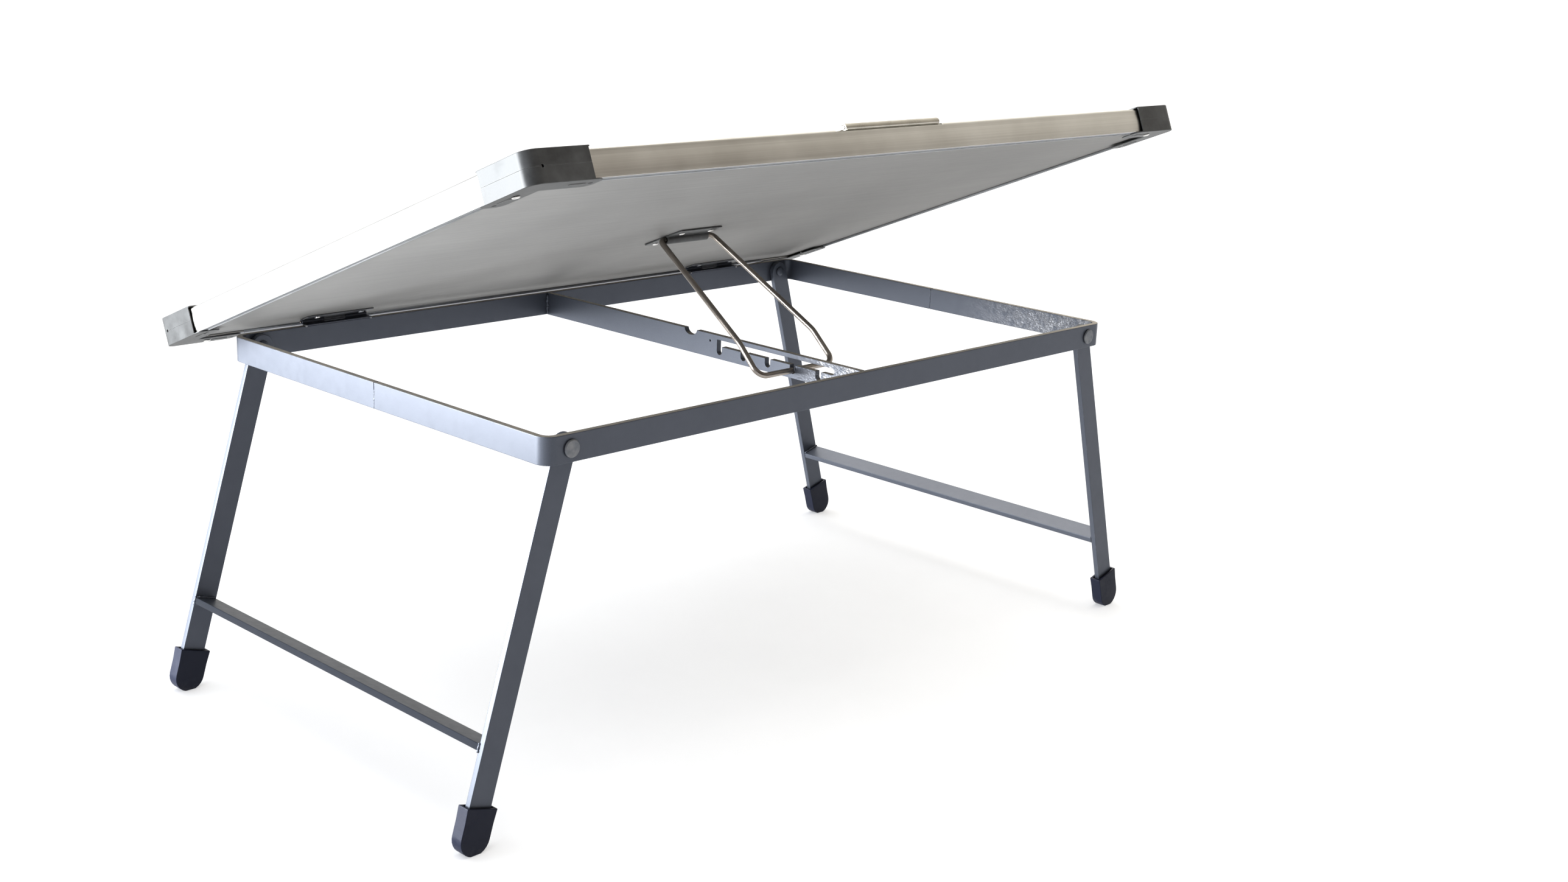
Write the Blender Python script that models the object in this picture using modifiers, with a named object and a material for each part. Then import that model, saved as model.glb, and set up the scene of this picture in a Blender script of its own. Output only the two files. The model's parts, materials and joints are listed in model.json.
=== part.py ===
"""Tabletop easel: a folding drawing board on a low flat-bar base with two folding leg frames.

Blender 4.5, metres, +Z up. The origin is the centre of the bounding box's floor.
The user sits on the -Y side, where the board is hinged; the board's +Y edge is the raised one.
Right is +X and left is -X. The easel is modelled open, with the prop in its fourth notch.
"""
import math

import bmesh
import bpy
from mathutils import Euler, Matrix, Vector

# ------------------------------------------------------------------ driving dimensions
GAP = 0.0003                  # air between two pieces that touch

FRAME_LENGTH = 0.640          # base frame, outside, along X
FRAME_DEPTH = 0.390           # base frame, outside, along Y
FRAME_TOP = 0.283             # height of the frame's top edge over the table
FRAME_Y = 0.0054              # where the frame's middle lies in Y
BAR_HEIGHT = 0.020            # flat bar of the frame, stood on edge
BAR_THICK = 0.005
BAR_BEND = 0.011              # outer radius of the frame's corners

LEG_WIDTH = 0.019             # flat bar of the legs
LEG_THICK = 0.005
LEG_SPLAY = math.radians(16.5)
LEG_PIVOT_X = 0.298           # leg rivets, from the middle
LEG_PIVOT_DROP = 0.010        # leg rivets, below the frame's top edge
LEG_BAR_GAP = 0.0004          # between a leg and the long bar beside it
LEG_SOLE = 0.285              # rivet to the tip of the foot, along the leg
FOOT_HEIGHT = 0.034
FOOT_WALL = 0.0026
FOOT_FLARE = 0.0006
FOOT_MOUTH = 0.0013           # the sleeve's slack around the leg at its open top
FOOT_MOUTH_DEPTH = 0.011
STRETCHER_DROP = 0.208        # rivet to the stretcher's top face, along the leg
STRETCHER_THICK = 0.005

RIVET_SHANK = 0.0030          # leg rivets, radius
RIVET_BORE = 0.0016           # hollow end of a leg rivet, radius
RIVET_HEAD = 0.0065
RIVET_HEAD_THICK = 0.0016
RIVET_ROLL = 0.0046           # rolled-over inner end, radius
RIVET_ROLL_THICK = 0.0012
RIVET_CHAMFER = 0.0006
RIVET_HOLLOW = 0.004          # depth of the hollow end

BOARD_TILT = math.radians(22.0)
BOARD_LENGTH = 0.714          # over the rails, along X
BOARD_LOW = 0.034             # hinge axis to the board's low edge
BOARD_HIGH = 0.456            # hinge axis to the board's raised edge
RAIL_HEIGHT = 0.020
RAIL_WALL = 0.0012
RAIL_LIP_UNDER = 0.006
RAIL_LIP_FRONT = 0.018        # the front rail's lower lip is wider, for the hinges' side
RAIL_LIP_TOP = 0.009
RAIL_CROWN = 0.0007           # the outer wall bulges by this much
RAIL_ROUND = 0.0022           # radius of its upper edge
SHEET_THICK = 0.0008          # writing sheet and backing sheet
SKIN_RADIUS = 0.008           # corner radius of the panel's three layers

HINGE_LENGTH = 0.062
BOARD_LEAF = 0.014            # axis to the board leaf's free edge
FRAME_LEAF = 0.0085           # and to the frame leaf's
HINGE_PLATE = 0.0009
HINGE_X = {"right": 0.224, "left": -0.208}
HINGE_AXIS_OUT = 0.002        # axis outside the frame's front face
HINGE_AXIS_UP = 0.00225       # axis above the frame's top edge
KNUCKLE_RADIUS = 0.00195
KNUCKLE_BORE = 0.00105
PIN_RADIUS = 0.00075

CAP_ARM = 0.051               # corner caps: length of the side walls from the corner
CAP_TAB = 0.060               # and of the lower flanges, which end in round tabs
CAP_TAB_TOP = 0.0525          # and of the upper flanges
CAP_FLANGE = 0.020
CAP_TAB_RADIUS = 0.007
CAP_TOP_RADIUS = 0.0012       # corners of the upper flanges' square ends
CAP_SLACK = 0.0009            # between a cap's side walls and the rails
CAP_NOTCH_ALONG = 0.0115      # bite in the seam, from the corner
CAP_NOTCH_RADIUS = 0.0011
EMBOSS_FROM = 0.036           # raised bead on each arm of the flange
EMBOSS_TO = 0.050
EMBOSS_HALF = 0.0017
EMBOSS_RISE = 0.0004
TAB_HOLE_ALONG = 0.054        # open hole in each tab
TAB_HOLE_RADIUS = 0.0016
CAP_SHEET = 0.0009
CAP_RADIUS = 0.010
CAP_RIVET_ALONG = 0.030       # the cap's rivet, from the corner along one arm
CAP_RIVET_IN = 0.009          # and in from that arm's edge

SMALL_SHANK = 0.0015          # small rivets of the board, radii
SMALL_HEAD = 0.0031
HEAD_THICK = 0.0008
BLIND_DEPTH = 0.004           # how far a blind rivet goes into the core
HINGE_RIVET_ALONG = 0.021     # the hinges' rivets, from each hinge's middle
HINGE_RIVET_IN = 0.0095       # and from the hinge axis

PROP_RADIUS = 0.0024          # 4.8 mm wire
PROP_ROD = 0.196              # hinge axis to the prop's rod, along the board
PROP_SHIFT = -0.003           # the prop's middle, off the centre bar
PROP_TOP_HALF = 0.030
PROP_FOOT_HALF = 0.044
PROP_KINK = 0.794             # place of the bend in the arms, as a part of their length
PROP_KINK_HALF = 0.043
PROP_KINK_RISE = 0.006
PROP_FOOT_GAP = 0.0004        # between the foot's two ends and the centre bar's faces
SADDLE_SHEET = 0.0012
SADDLE_LENGTH = 0.047         # the prop's bracket, along the rod
SADDLE_SHIFT = 0.001          # its middle, off the prop's
SADDLE_FLANGE = 0.022         # rod to the edge of its wide flange
SADDLE_LIP = 0.009            # and of its narrow one
SADDLE_TAB_WIDTH = 0.017
SADDLE_TAB_SHIFT = 0.016      # its long tab's middle, off the prop's
SADDLE_TAB_ROOT = 0.0065      # where the tab starts, from the rod
SADDLE_TAB_REACH = 0.028      # and where it ends
SADDLE_TAB_CORNER = 0.004
SADDLE_TAB_RIVET = 0.022      # and its rivet
SADDLE_RIVET_OUT = 0.0135     # the two rivets of the wide flange, from the rod
SADDLE_RIVET_X = {"right": 0.017, "left": -0.016}

NOTCH_PITCH = 0.028           # the prop's notches in the centre bar
NOTCH_FIRST = 0.034           # first notch, from the frame's middle
NOTCH_COUNT = 5
NOTCH_USED = 4
NOTCH_WIDTH = 0.0058
NOTCH_FLOOR = -0.0162         # heights in the bar, from the frame's top edge
WINDOW_TOP = -0.0038
WINDOW_SILL = -0.0090
WINDOW_END = 0.163
ROD_NOTCH_Y = -0.0010         # open notch in the bar's top edge
ROD_NOTCH_HALF = 0.0074
ROD_NOTCH_DEPTH = 0.0050
PILOT_HOLE = (0.0227, -0.0060)
PILOT_RADIUS = 0.0008

CLIP_X = 0.010                # middle of the paper clip
CLIP_ROLL_HALF = 0.053
CLIP_BASE_FROM = -0.044
CLIP_BASE_TO = 0.074
CLIP_INSET = 0.0042           # roll's axis, inside the raised edge
CLIP_ROLL = 0.0030
CLIP_SHEET = 0.0008
CLIP_BASE_DEPTH = 0.030

# ------------------------------------------------------------------ derived places
FRAME_FRONT = FRAME_Y - FRAME_DEPTH / 2
HINGE_Y = FRAME_FRONT - HINGE_AXIS_OUT
HINGE_Z = FRAME_TOP + HINGE_AXIS_UP
PIVOT_Z = FRAME_TOP - LEG_PIVOT_DROP

# Heights in the board, measured square to it from the hinge axis.
RAIL_N = 0.003 - HINGE_AXIS_UP
RAIL_TOP_N = RAIL_N + RAIL_HEIGHT
BACKING_N = RAIL_N + RAIL_WALL + GAP
CORE_N = BACKING_N + SHEET_THICK + GAP
SHEET_TOP_N = RAIL_TOP_N - RAIL_WALL - GAP
CORE_TOP_N = SHEET_TOP_N - SHEET_THICK - GAP
ROD_N = BACKING_N - 0.003

ARC_STEPS = 10


# ------------------------------------------------------------------ scene and materials
def clear_scene():
    for obj in list(bpy.data.objects):
        bpy.data.objects.remove(obj, do_unlink=True)


def new_collection(name):
    made = bpy.data.collections.new(name)
    bpy.context.scene.collection.children.link(made)
    return made


clear_scene()
PARTS = new_collection("tabletop_easel")
CUTTERS = new_collection("cutters")


def finish(name, colour, roughness, metallic):
    made = bpy.data.materials.new(name)
    made.use_nodes = True
    shader = made.node_tree.nodes["Principled BSDF"]
    shader.inputs["Base Color"].default_value = (*colour, 1.0)
    shader.inputs["Roughness"].default_value = roughness
    shader.inputs["Metallic"].default_value = metallic
    return made


PAINT = finish("silver_paint", (0.42, 0.44, 0.48), 0.45, 0.2)
ALUMINIUM = finish("anodised_aluminium", (0.74, 0.73, 0.70), 0.35, 0.9)
GALVANISED = finish("galvanised_sheet", (0.52, 0.54, 0.56), 0.42, 0.9)
STEEL = finish("plated_steel", (0.48, 0.44, 0.40), 0.28, 1.0)
RUBBER = finish("black_rubber", (0.02, 0.02, 0.03), 0.7, 0.0)
WHITE = finish("white_laminate", (0.88, 0.88, 0.87), 0.25, 0.0)
CORE = finish("fibre_core", (0.45, 0.33, 0.22), 0.85, 0.0)


# ------------------------------------------------------------------ modelling helpers
def arc(cx, cy, radius, start, end, steps=ARC_STEPS):
    """Points of an arc, angles in degrees."""
    turns = [math.radians(start + (end - start) * i / steps) for i in range(steps + 1)]
    return [(cx + radius * math.cos(a), cy + radius * math.sin(a)) for a in turns]


def ring(cx, cy, radius, steps=24):
    return arc(cx, cy, radius, 0, 360, steps)[:-1]


def rounded_rectangle(x0, y0, x1, y1, radius, steps=6):
    return (arc(x1 - radius, y0 + radius, radius, -90, 0, steps)
            + arc(x1 - radius, y1 - radius, radius, 0, 90, steps)
            + arc(x0 + radius, y1 - radius, radius, 90, 180, steps)
            + arc(x0 + radius, y0 + radius, radius, 180, 270, steps))


def pivot(name, location, rotation=(0, 0, 0), parent=None):
    empty = bpy.data.objects.new(name, None)
    empty.location = location
    empty.rotation_euler = rotation
    empty.parent = parent
    PARTS.objects.link(empty)
    return empty


def settle(obj, parent=None, location=(0, 0, 0), rotation=(0, 0, 0), material=None):
    obj.location = location
    obj.rotation_euler = rotation
    obj.parent = parent
    if material is not None:
        obj.data.materials.clear()
        obj.data.materials.append(material)
    return obj


def smooth(obj, angle=35):
    obj.data.shade_smooth()
    obj.data.set_sharp_from_angle(angle=math.radians(angle))
    return obj


def curve_to_mesh(curve_obj, name, cutter=False):
    """Freeze a curve as a closed mesh object with its caps welded."""
    bpy.context.view_layer.update()
    graph = bpy.context.evaluated_depsgraph_get()
    mesh = bpy.data.meshes.new_from_object(curve_obj.evaluated_get(graph))
    work = bmesh.new()
    work.from_mesh(mesh)
    bmesh.ops.remove_doubles(work, verts=work.verts, dist=1e-6)
    bmesh.ops.recalc_face_normals(work, faces=work.faces)
    work.to_mesh(mesh)
    work.free()
    mesh.name = name
    made = bpy.data.objects.new(name, mesh)
    made.matrix_world = curve_obj.matrix_world.copy()
    old = curve_obj.data
    bpy.data.objects.remove(curve_obj, do_unlink=True)
    bpy.data.curves.remove(old)
    link(made, cutter)
    return made


def link(obj, cutter=False):
    if cutter:
        CUTTERS.objects.link(obj)
        obj.hide_render = True
        obj.display_type = "WIRE"
    else:
        PARTS.objects.link(obj)


def prism(name, outline, thickness, holes=(), cutter=False):
    """A flat outline in XY with its holes, thickened to both sides along Z."""
    curve = bpy.data.curves.new(name, "CURVE")
    curve.dimensions = "2D"
    curve.fill_mode = "BOTH"
    curve.extrude = thickness / 2
    for loop in [outline, *holes]:
        spline = curve.splines.new("POLY")
        spline.points.add(len(loop) - 1)
        for point, (x, y) in zip(spline.points, loop):
            point.co = (x, y, 0, 1)
        spline.use_cyclic_u = True
    holder = bpy.data.objects.new(name + "_outline", curve)
    bpy.context.scene.collection.objects.link(holder)
    return curve_to_mesh(holder, name, cutter)


def cylinders(name, places, radius, length, segments=20, cutter=False):
    """Equal cylinders along Z at the given places, in one object."""
    work = bmesh.new()
    for place in places:
        bmesh.ops.create_cone(work, cap_ends=True, segments=segments, radius1=radius,
                              radius2=radius, depth=length, matrix=Matrix.Translation(place))
    mesh = bpy.data.meshes.new(name)
    work.to_mesh(mesh)
    work.free()
    made = bpy.data.objects.new(name, mesh)
    link(made, cutter)
    return made


def block(name, low, high, cutter=False):
    """A box between two corners."""
    low, high = Vector(low), Vector(high)
    work = bmesh.new()
    bmesh.ops.create_cube(work, size=1.0)
    bmesh.ops.scale(work, vec=high - low, verts=work.verts)
    bmesh.ops.translate(work, vec=(high + low) / 2, verts=work.verts)
    mesh = bpy.data.meshes.new(name)
    work.to_mesh(mesh)
    work.free()
    made = bpy.data.objects.new(name, mesh)
    link(made, cutter)
    return made


def cut(obj, cutter, operation="DIFFERENCE"):
    step = obj.modifiers.new(cutter.name, "BOOLEAN")
    step.object = cutter
    step.operation = operation
    step.solver = "EXACT"


def turned(name, profile, segments=28):
    """A closed (radius, height) profile turned about Z."""
    mesh = bpy.data.meshes.new(name)
    work = bmesh.new()
    rim = [work.verts.new((r, 0, z)) for r, z in profile]
    for a, b in zip(rim, rim[1:] + rim[:1]):
        work.edges.new((a, b))
    work.to_mesh(mesh)
    work.free()
    made = bpy.data.objects.new(name, mesh)
    link(made)
    screw = made.modifiers.new("turn", "SCREW")
    screw.steps = segments
    screw.render_steps = segments
    screw.use_merge_vertices = True
    screw.merge_threshold = 1e-6
    screw.use_smooth_shade = False
    return made


def wire(name, points, radius, sides=2):
    """A round wire along points, with closed ends."""
    curve = bpy.data.curves.new(name, "CURVE")
    curve.dimensions = "3D"
    curve.bevel_depth = radius
    curve.bevel_resolution = sides
    curve.use_fill_caps = True
    spline = curve.splines.new("POLY")
    spline.points.add(len(points) - 1)
    for point, place in zip(spline.points, points):
        point.co = (*place, 1)
    holder = bpy.data.objects.new(name + "_path", curve)
    bpy.context.scene.collection.objects.link(holder)
    return curve_to_mesh(holder, name)


def rounded_path(corners, steps=6):
    """A path through (point, bend radius) pairs, each bend laid in as an arc."""
    path = []
    for i, (place, radius) in enumerate(corners):
        place = Vector(place)
        if radius == 0:
            path.append(place)
            continue
        back = (Vector(corners[i - 1][0]) - place).normalized()
        ahead = (Vector(corners[i + 1][0]) - place).normalized()
        half = back.angle(ahead) / 2
        run = radius / math.tan(half)
        middle = place + (back + ahead).normalized() * (radius / math.sin(half))
        first = place + back * run - middle
        last = place + ahead * run - middle
        sweep = first.angle(last)
        for k in range(steps + 1):
            t = k / steps
            path.append(middle + (first * math.sin((1 - t) * sweep)
                                  + last * math.sin(t * sweep)) / math.sin(sweep))
    return path


UPRIGHT_X = Euler((math.pi / 2, 0, math.pi / 2))    # outline in YZ, thickness along X
UPRIGHT_Y = Euler((math.pi / 2, 0, 0))              # outline in XZ, thickness along Y
ALONG_Y = Euler((math.pi / 2, 0, 0))                # a cylinder laid along Y
ALONG_X = Euler((0, math.pi / 2, 0))                # a cylinder laid along X
SIDES = {"right": 1, "left": -1}
ENDS = {"front": -1, "rear": 1}


# ------------------------------------------------------------------ base frame
def frame_halves():
    """Two U-shaped bends of flat bar that meet in the middle of the short sides."""
    x, y = FRAME_LENGTH / 2, FRAME_DEPTH / 2
    r_out, r_in = BAR_BEND, BAR_BEND - BAR_THICK
    split = GAP / 2
    outline = ([(x, -split)]
               + arc(x - r_out, -y + r_out, r_out, 0, -90)
               + arc(-x + r_out, -y + r_out, r_out, -90, -180)
               + [(-x, -split), (-x + BAR_THICK, -split)]
               + arc(-x + r_out, -y + r_out, r_in, -180, -90)
               + arc(x - r_out, -y + r_out, r_in, -90, 0)
               + [(x - BAR_THICK, -split)])
    height = FRAME_TOP - BAR_HEIGHT / 2
    halves = {}
    for end, turn in (("front", 0.0), ("rear", math.pi)):
        half = prism("frame_half_" + end, outline, BAR_HEIGHT)
        settle(half, location=(0, FRAME_Y, height), rotation=(0, 0, turn), material=PAINT)
        halves[end] = smooth(half)
    return halves


def window_outline():
    """The prop's window in the centre bar, with its notches, as (y, z) points."""
    half = NOTCH_WIDTH / 2
    outline = []
    for i in range(NOTCH_COUNT):
        y = NOTCH_FIRST + i * NOTCH_PITCH
        if i > 0:
            outline.append((y - half, WINDOW_SILL))
        outline += arc(y, NOTCH_FLOOR + half, half, 180, 360, 6)
        outline.append((y + half, WINDOW_SILL))
    end = (WINDOW_TOP - WINDOW_SILL) / 2
    outline += arc(WINDOW_END - end, WINDOW_SILL + end, end, -90, 90, 6)
    outline.append((NOTCH_FIRST - half, WINDOW_TOP))
    return outline


def centre_bar():
    """The flat bar across the frame: an open notch for the rod and the prop's window."""
    reach = FRAME_DEPTH / 2 - BAR_THICK - GAP
    depth, half = ROD_NOTCH_DEPTH, ROD_NOTCH_HALF
    dip = [(ROD_NOTCH_Y + half * math.cos(a), -depth * math.sin(a))
           for a in (math.pi * i / 10 for i in range(11))]
    outline = [(-reach, -BAR_HEIGHT), (reach, -BAR_HEIGHT), (reach, 0), *dip, (-reach, 0)]
    pilot = ring(PILOT_HOLE[0], PILOT_HOLE[1], PILOT_RADIUS, 12)
    bar = prism("centre_bar", outline, BAR_THICK, holes=[window_outline(), pilot])
    settle(bar, location=(0, FRAME_Y, FRAME_TOP), rotation=UPRIGHT_X, material=PAINT)
    return smooth(bar)


# ------------------------------------------------------------------ leg frames
def leg_plane(end):
    """Middle of a leg's thickness, in Y, from the frame's middle."""
    return ENDS[end] * (FRAME_DEPTH / 2 - BAR_THICK - LEG_BAR_GAP - LEG_THICK / 2)


def leg_frame(side):
    """Two flat legs, the stretcher between them and two rubber feet, on one pivot."""
    sign = SIDES[side]
    home = pivot("pivot_legs_" + side, (sign * LEG_PIVOT_X, FRAME_Y, PIVOT_Z),
                 (0, -sign * LEG_SPLAY, 0))
    half = LEG_WIDTH / 2
    tip = -(LEG_SOLE - FOOT_WALL - GAP)
    outline = (arc(0, 0, half, 0, 180, 14) + arc(0, tip + half, half, 180, 360, 14))
    for end in ENDS:
        y = leg_plane(end)
        leg = prism("leg_%s_%s" % (side, end), outline, LEG_THICK,
                    holes=[ring(0, 0, RIVET_SHANK + GAP)])
        settle(leg, home, (0, y, 0), UPRIGHT_Y, PAINT)
        smooth(leg)
        rubber_foot("foot_%s_%s" % (side, end), home, y)
    reach = leg_plane("rear") - LEG_THICK / 2 - GAP
    stretcher = block("stretcher_" + side,
                      (-half, -reach, -STRETCHER_DROP - STRETCHER_THICK),
                      (half, reach, -STRETCHER_DROP))
    settle(stretcher, home, material=PAINT)
    return home


def rubber_foot(name, home, y):
    """A moulded sleeve: open at the top, round at the tip, worn flat where it stands."""
    half = LEG_WIDTH / 2 + GAP + FOOT_WALL
    thick = LEG_THICK / 2 + GAP + FOOT_WALL
    top = -(LEG_SOLE - FOOT_HEIGHT)
    outline = ([(half + FOOT_FLARE, top), (half, top - FOOT_HEIGHT * 0.3)]
               + arc(0, -LEG_SOLE + half, half, 0, -180, 14)
               + [(-half, top - FOOT_HEIGHT * 0.3), (-half - FOOT_FLARE, top)])
    foot = prism(name, outline, 2 * thick)
    settle(foot, home, (0, y, 0), UPRIGHT_Y, RUBBER)
    inner = LEG_WIDTH / 2 + GAP
    pocket_outline = ([(inner, top + 0.01)]
                      + arc(0, -LEG_SOLE + FOOT_WALL + inner, inner, 0, -180, 14)
                      + [(-inner, top + 0.01)])
    pocket = prism(name + "_pocket", pocket_outline, LEG_THICK + 2 * GAP, cutter=True)
    settle(pocket, home, (0, y, 0), UPRIGHT_Y)
    cut(foot, pocket)
    mouth_outline = [(-inner, top - FOOT_MOUTH_DEPTH), (inner, top - FOOT_MOUTH_DEPTH),
                     (inner + FOOT_MOUTH, top + 0.001), (-inner - FOOT_MOUTH, top + 0.001)]
    mouth = prism(name + "_mouth", mouth_outline, LEG_THICK + 2 * GAP + FOOT_MOUTH, cutter=True)
    settle(mouth, home, (0, y, 0), UPRIGHT_Y)
    cut(foot, mouth)
    cut(foot, TABLE)
    smooth(foot)


def leg_rivet(name, x, outward):
    """A flat-headed tubular rivet through the long bar and a leg, rolled over inside."""
    grip = BAR_THICK + LEG_BAR_GAP + LEG_THICK
    tail = -grip - GAP
    face, end = GAP + RIVET_HEAD_THICK, tail - RIVET_ROLL_THICK
    profile = [(0, face), (RIVET_HEAD - RIVET_CHAMFER, face), (RIVET_HEAD, face - RIVET_CHAMFER),
               (RIVET_HEAD, GAP), (RIVET_SHANK, GAP), (RIVET_SHANK, tail),
               (RIVET_ROLL, tail), (RIVET_ROLL, end + RIVET_CHAMFER * 0.8),
               (RIVET_ROLL - RIVET_CHAMFER, end), (RIVET_BORE, end),
               (RIVET_BORE, tail + RIVET_HOLLOW), (0, tail + RIVET_HOLLOW)]
    rivet = turned(name, profile)
    place = (x, FRAME_Y + outward * FRAME_DEPTH / 2, PIVOT_Z)
    settle(rivet, location=place, rotation=(-outward * math.pi / 2, 0, 0), material=STEEL)
    return rivet


# ------------------------------------------------------------------ hinges
def leaf_profile(rise, reach):
    """Side view of a hinge leaf in (y, z): a knuckle and a plate, below or above the axis."""
    near, far = HINGE_AXIS_UP - GAP - HINGE_PLATE, HINGE_AXIS_UP - GAP
    r = KNUCKLE_RADIUS
    knuckle = arc(0, 0, r, -math.degrees(math.asin(near / r)), 270, 22)
    profile = knuckle + [(reach, -far), (reach, -near)]
    bore = ring(0, 0, KNUCKLE_BORE, 16)
    if rise > 0:
        profile = [(y, -z) for y, z in reversed(profile)]
    return profile, bore


def hinge(side, board):
    """A three-knuckle butt hinge: frame leaf, board leaf and pin."""
    x = HINGE_X[side]
    third = HINGE_LENGTH / 6
    slack = GAP / 2
    reach = KNUCKLE_RADIUS + 0.0006

    profile, bore = leaf_profile(-1, FRAME_LEAF)
    lower = prism("hinge_frame_leaf_" + side, profile, HINGE_LENGTH, holes=[bore])
    settle(lower, location=(x, HINGE_Y, HINGE_Z), rotation=UPRIGHT_X, material=GALVANISED)
    room = block("room_frame_leaf_" + side, (-third - slack, -0.01, -0.01),
                 (third + slack, reach, 0.01), cutter=True)
    settle(room, location=(x, HINGE_Y, HINGE_Z))
    cut(lower, room)
    smooth(lower)

    profile, bore = leaf_profile(1, BOARD_LEAF)
    upper = prism("hinge_board_leaf_" + side, profile, HINGE_LENGTH, holes=[bore])
    settle(upper, board, (x, 0, 0), UPRIGHT_X, GALVANISED)
    for label, near, far in (("a", third - slack, 0.04), ("b", -0.04, -third + slack)):
        room = block("room_board_leaf_%s_%s" % (side, label), (near, -0.01, -0.01),
                     (far, reach, 0.01), cutter=True)
        settle(room, board, (x, 0, 0))
        cut(upper, room)
    smooth(upper)

    pin = cylinders("hinge_pin_" + side, [(0, 0, 0)], PIN_RADIUS, HINGE_LENGTH + 0.002, 16)
    settle(pin, location=(x, HINGE_Y, HINGE_Z), rotation=ALONG_X, material=STEEL)
    smooth(pin)
    return upper


# ------------------------------------------------------------------ board
def panel_layer(name, board, low, high, material):
    """One layer of the panel, from height low to high, inside the rails."""
    edge = RAIL_WALL + GAP
    x = BOARD_LENGTH / 2 - edge
    outline = rounded_rectangle(-x, -BOARD_LOW + edge, x, BOARD_HIGH - edge, SKIN_RADIUS)
    layer = prism(name, outline, high - low)
    settle(layer, board, (0, 0, (low + high) / 2), material=material)
    return layer


def rail_profile(under):
    """Channel section as (inward, up) points: a crowned outer wall, a lower and an upper lip."""
    h, w, r = RAIL_HEIGHT, RAIL_WALL, RAIL_ROUND
    wall = [(RAIL_CROWN * (1 - math.sin(math.pi * t)), h * t * 0.9)
            for t in (0.0, 0.15, 0.3, 0.5, 0.7, 0.85)]
    return ([(under, 0)] + wall
            + arc(r, h - r, r - 0.0002, 170, 90, 5)[:-1]
            + [(r, h), (RAIL_LIP_TOP, h), (RAIL_LIP_TOP, h - w), (w, h - w),
               (w, w), (under, w)])


def rails(board):
    """Four channel rails that wrap the panel's edges; each stops short of the corners."""
    stop = CAP_RADIUS
    middle = (BOARD_HIGH - BOARD_LOW) / 2
    long_run = BOARD_LENGTH - 2 * stop
    short_run = BOARD_LOW + BOARD_HIGH - 2 * stop
    half = BOARD_LENGTH / 2
    plan = (("rail_front", long_run, (0, -BOARD_LOW), (math.pi / 2, 0, math.pi / 2)),
            ("rail_rear", long_run, (0, BOARD_HIGH), (math.pi / 2, 0, -math.pi / 2)),
            ("rail_right", short_run, (half, middle), (math.pi / 2, 0, math.pi)),
            ("rail_left", short_run, (-half, middle), (math.pi / 2, 0, 0)))
    made = {}
    for name, run, (x, y), turn in plan:
        under = RAIL_LIP_FRONT if name == "rail_front" else RAIL_LIP_UNDER
        rail = prism(name, rail_profile(under), run)
        settle(rail, board, (x, y, RAIL_N), turn, ALUMINIUM)
        made[name] = smooth(rail, 25)
    slot = block("clip_slot", (CLIP_BASE_FROM - 0.001, BOARD_HIGH - 0.02, CLIP_SEAT_N - GAP),
                 (CLIP_BASE_TO + 0.001, BOARD_HIGH + 0.01, RAIL_TOP_N + 0.01), cutter=True)
    settle(slot, board)
    cut(made["rail_rear"], slot)
    return made


CAP_OUT = GAP + CAP_SHEET          # how far a cap's flanges stand proud of the rails
CAP_SIDE = CAP_SLACK + CAP_SHEET   # and its side walls
CORNERS = {"rear_right": (1, BOARD_HIGH, 0.0), "rear_left": (-1, BOARD_HIGH, math.pi / 2),
           "front_left": (-1, -BOARD_LOW, math.pi), "front_right": (1, -BOARD_LOW, -math.pi / 2)}


def cap_outline(arm, q):
    """Plan of a cap about its corner: an L with a round corner and arms that end in radii q."""
    r, flange = CAP_RADIUS, CAP_FLANGE
    return (arc(-r, -r, r, 0, 90, 8)
            + arc(-arm + q, -q, q, 90, 180, 5) + arc(-arm + q, -flange + q, q, 180, 270, 5)
            + [(-flange, -flange)]
            + arc(-flange + q, -arm + q, q, 180, 270, 5) + arc(-q, -arm + q, q, 270, 360, 5))


def cap_hollow_outline():
    """Plan of the space inside a cap, open past the arms' free edges."""
    r, far = CAP_RADIUS - CAP_SHEET, CAP_TAB + 0.01
    return (arc(-CAP_RADIUS, -CAP_RADIUS, r, 0, 90, 8)
            + [(-far, -CAP_SHEET), (-far, -far), (-CAP_SHEET, -far)])


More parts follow.
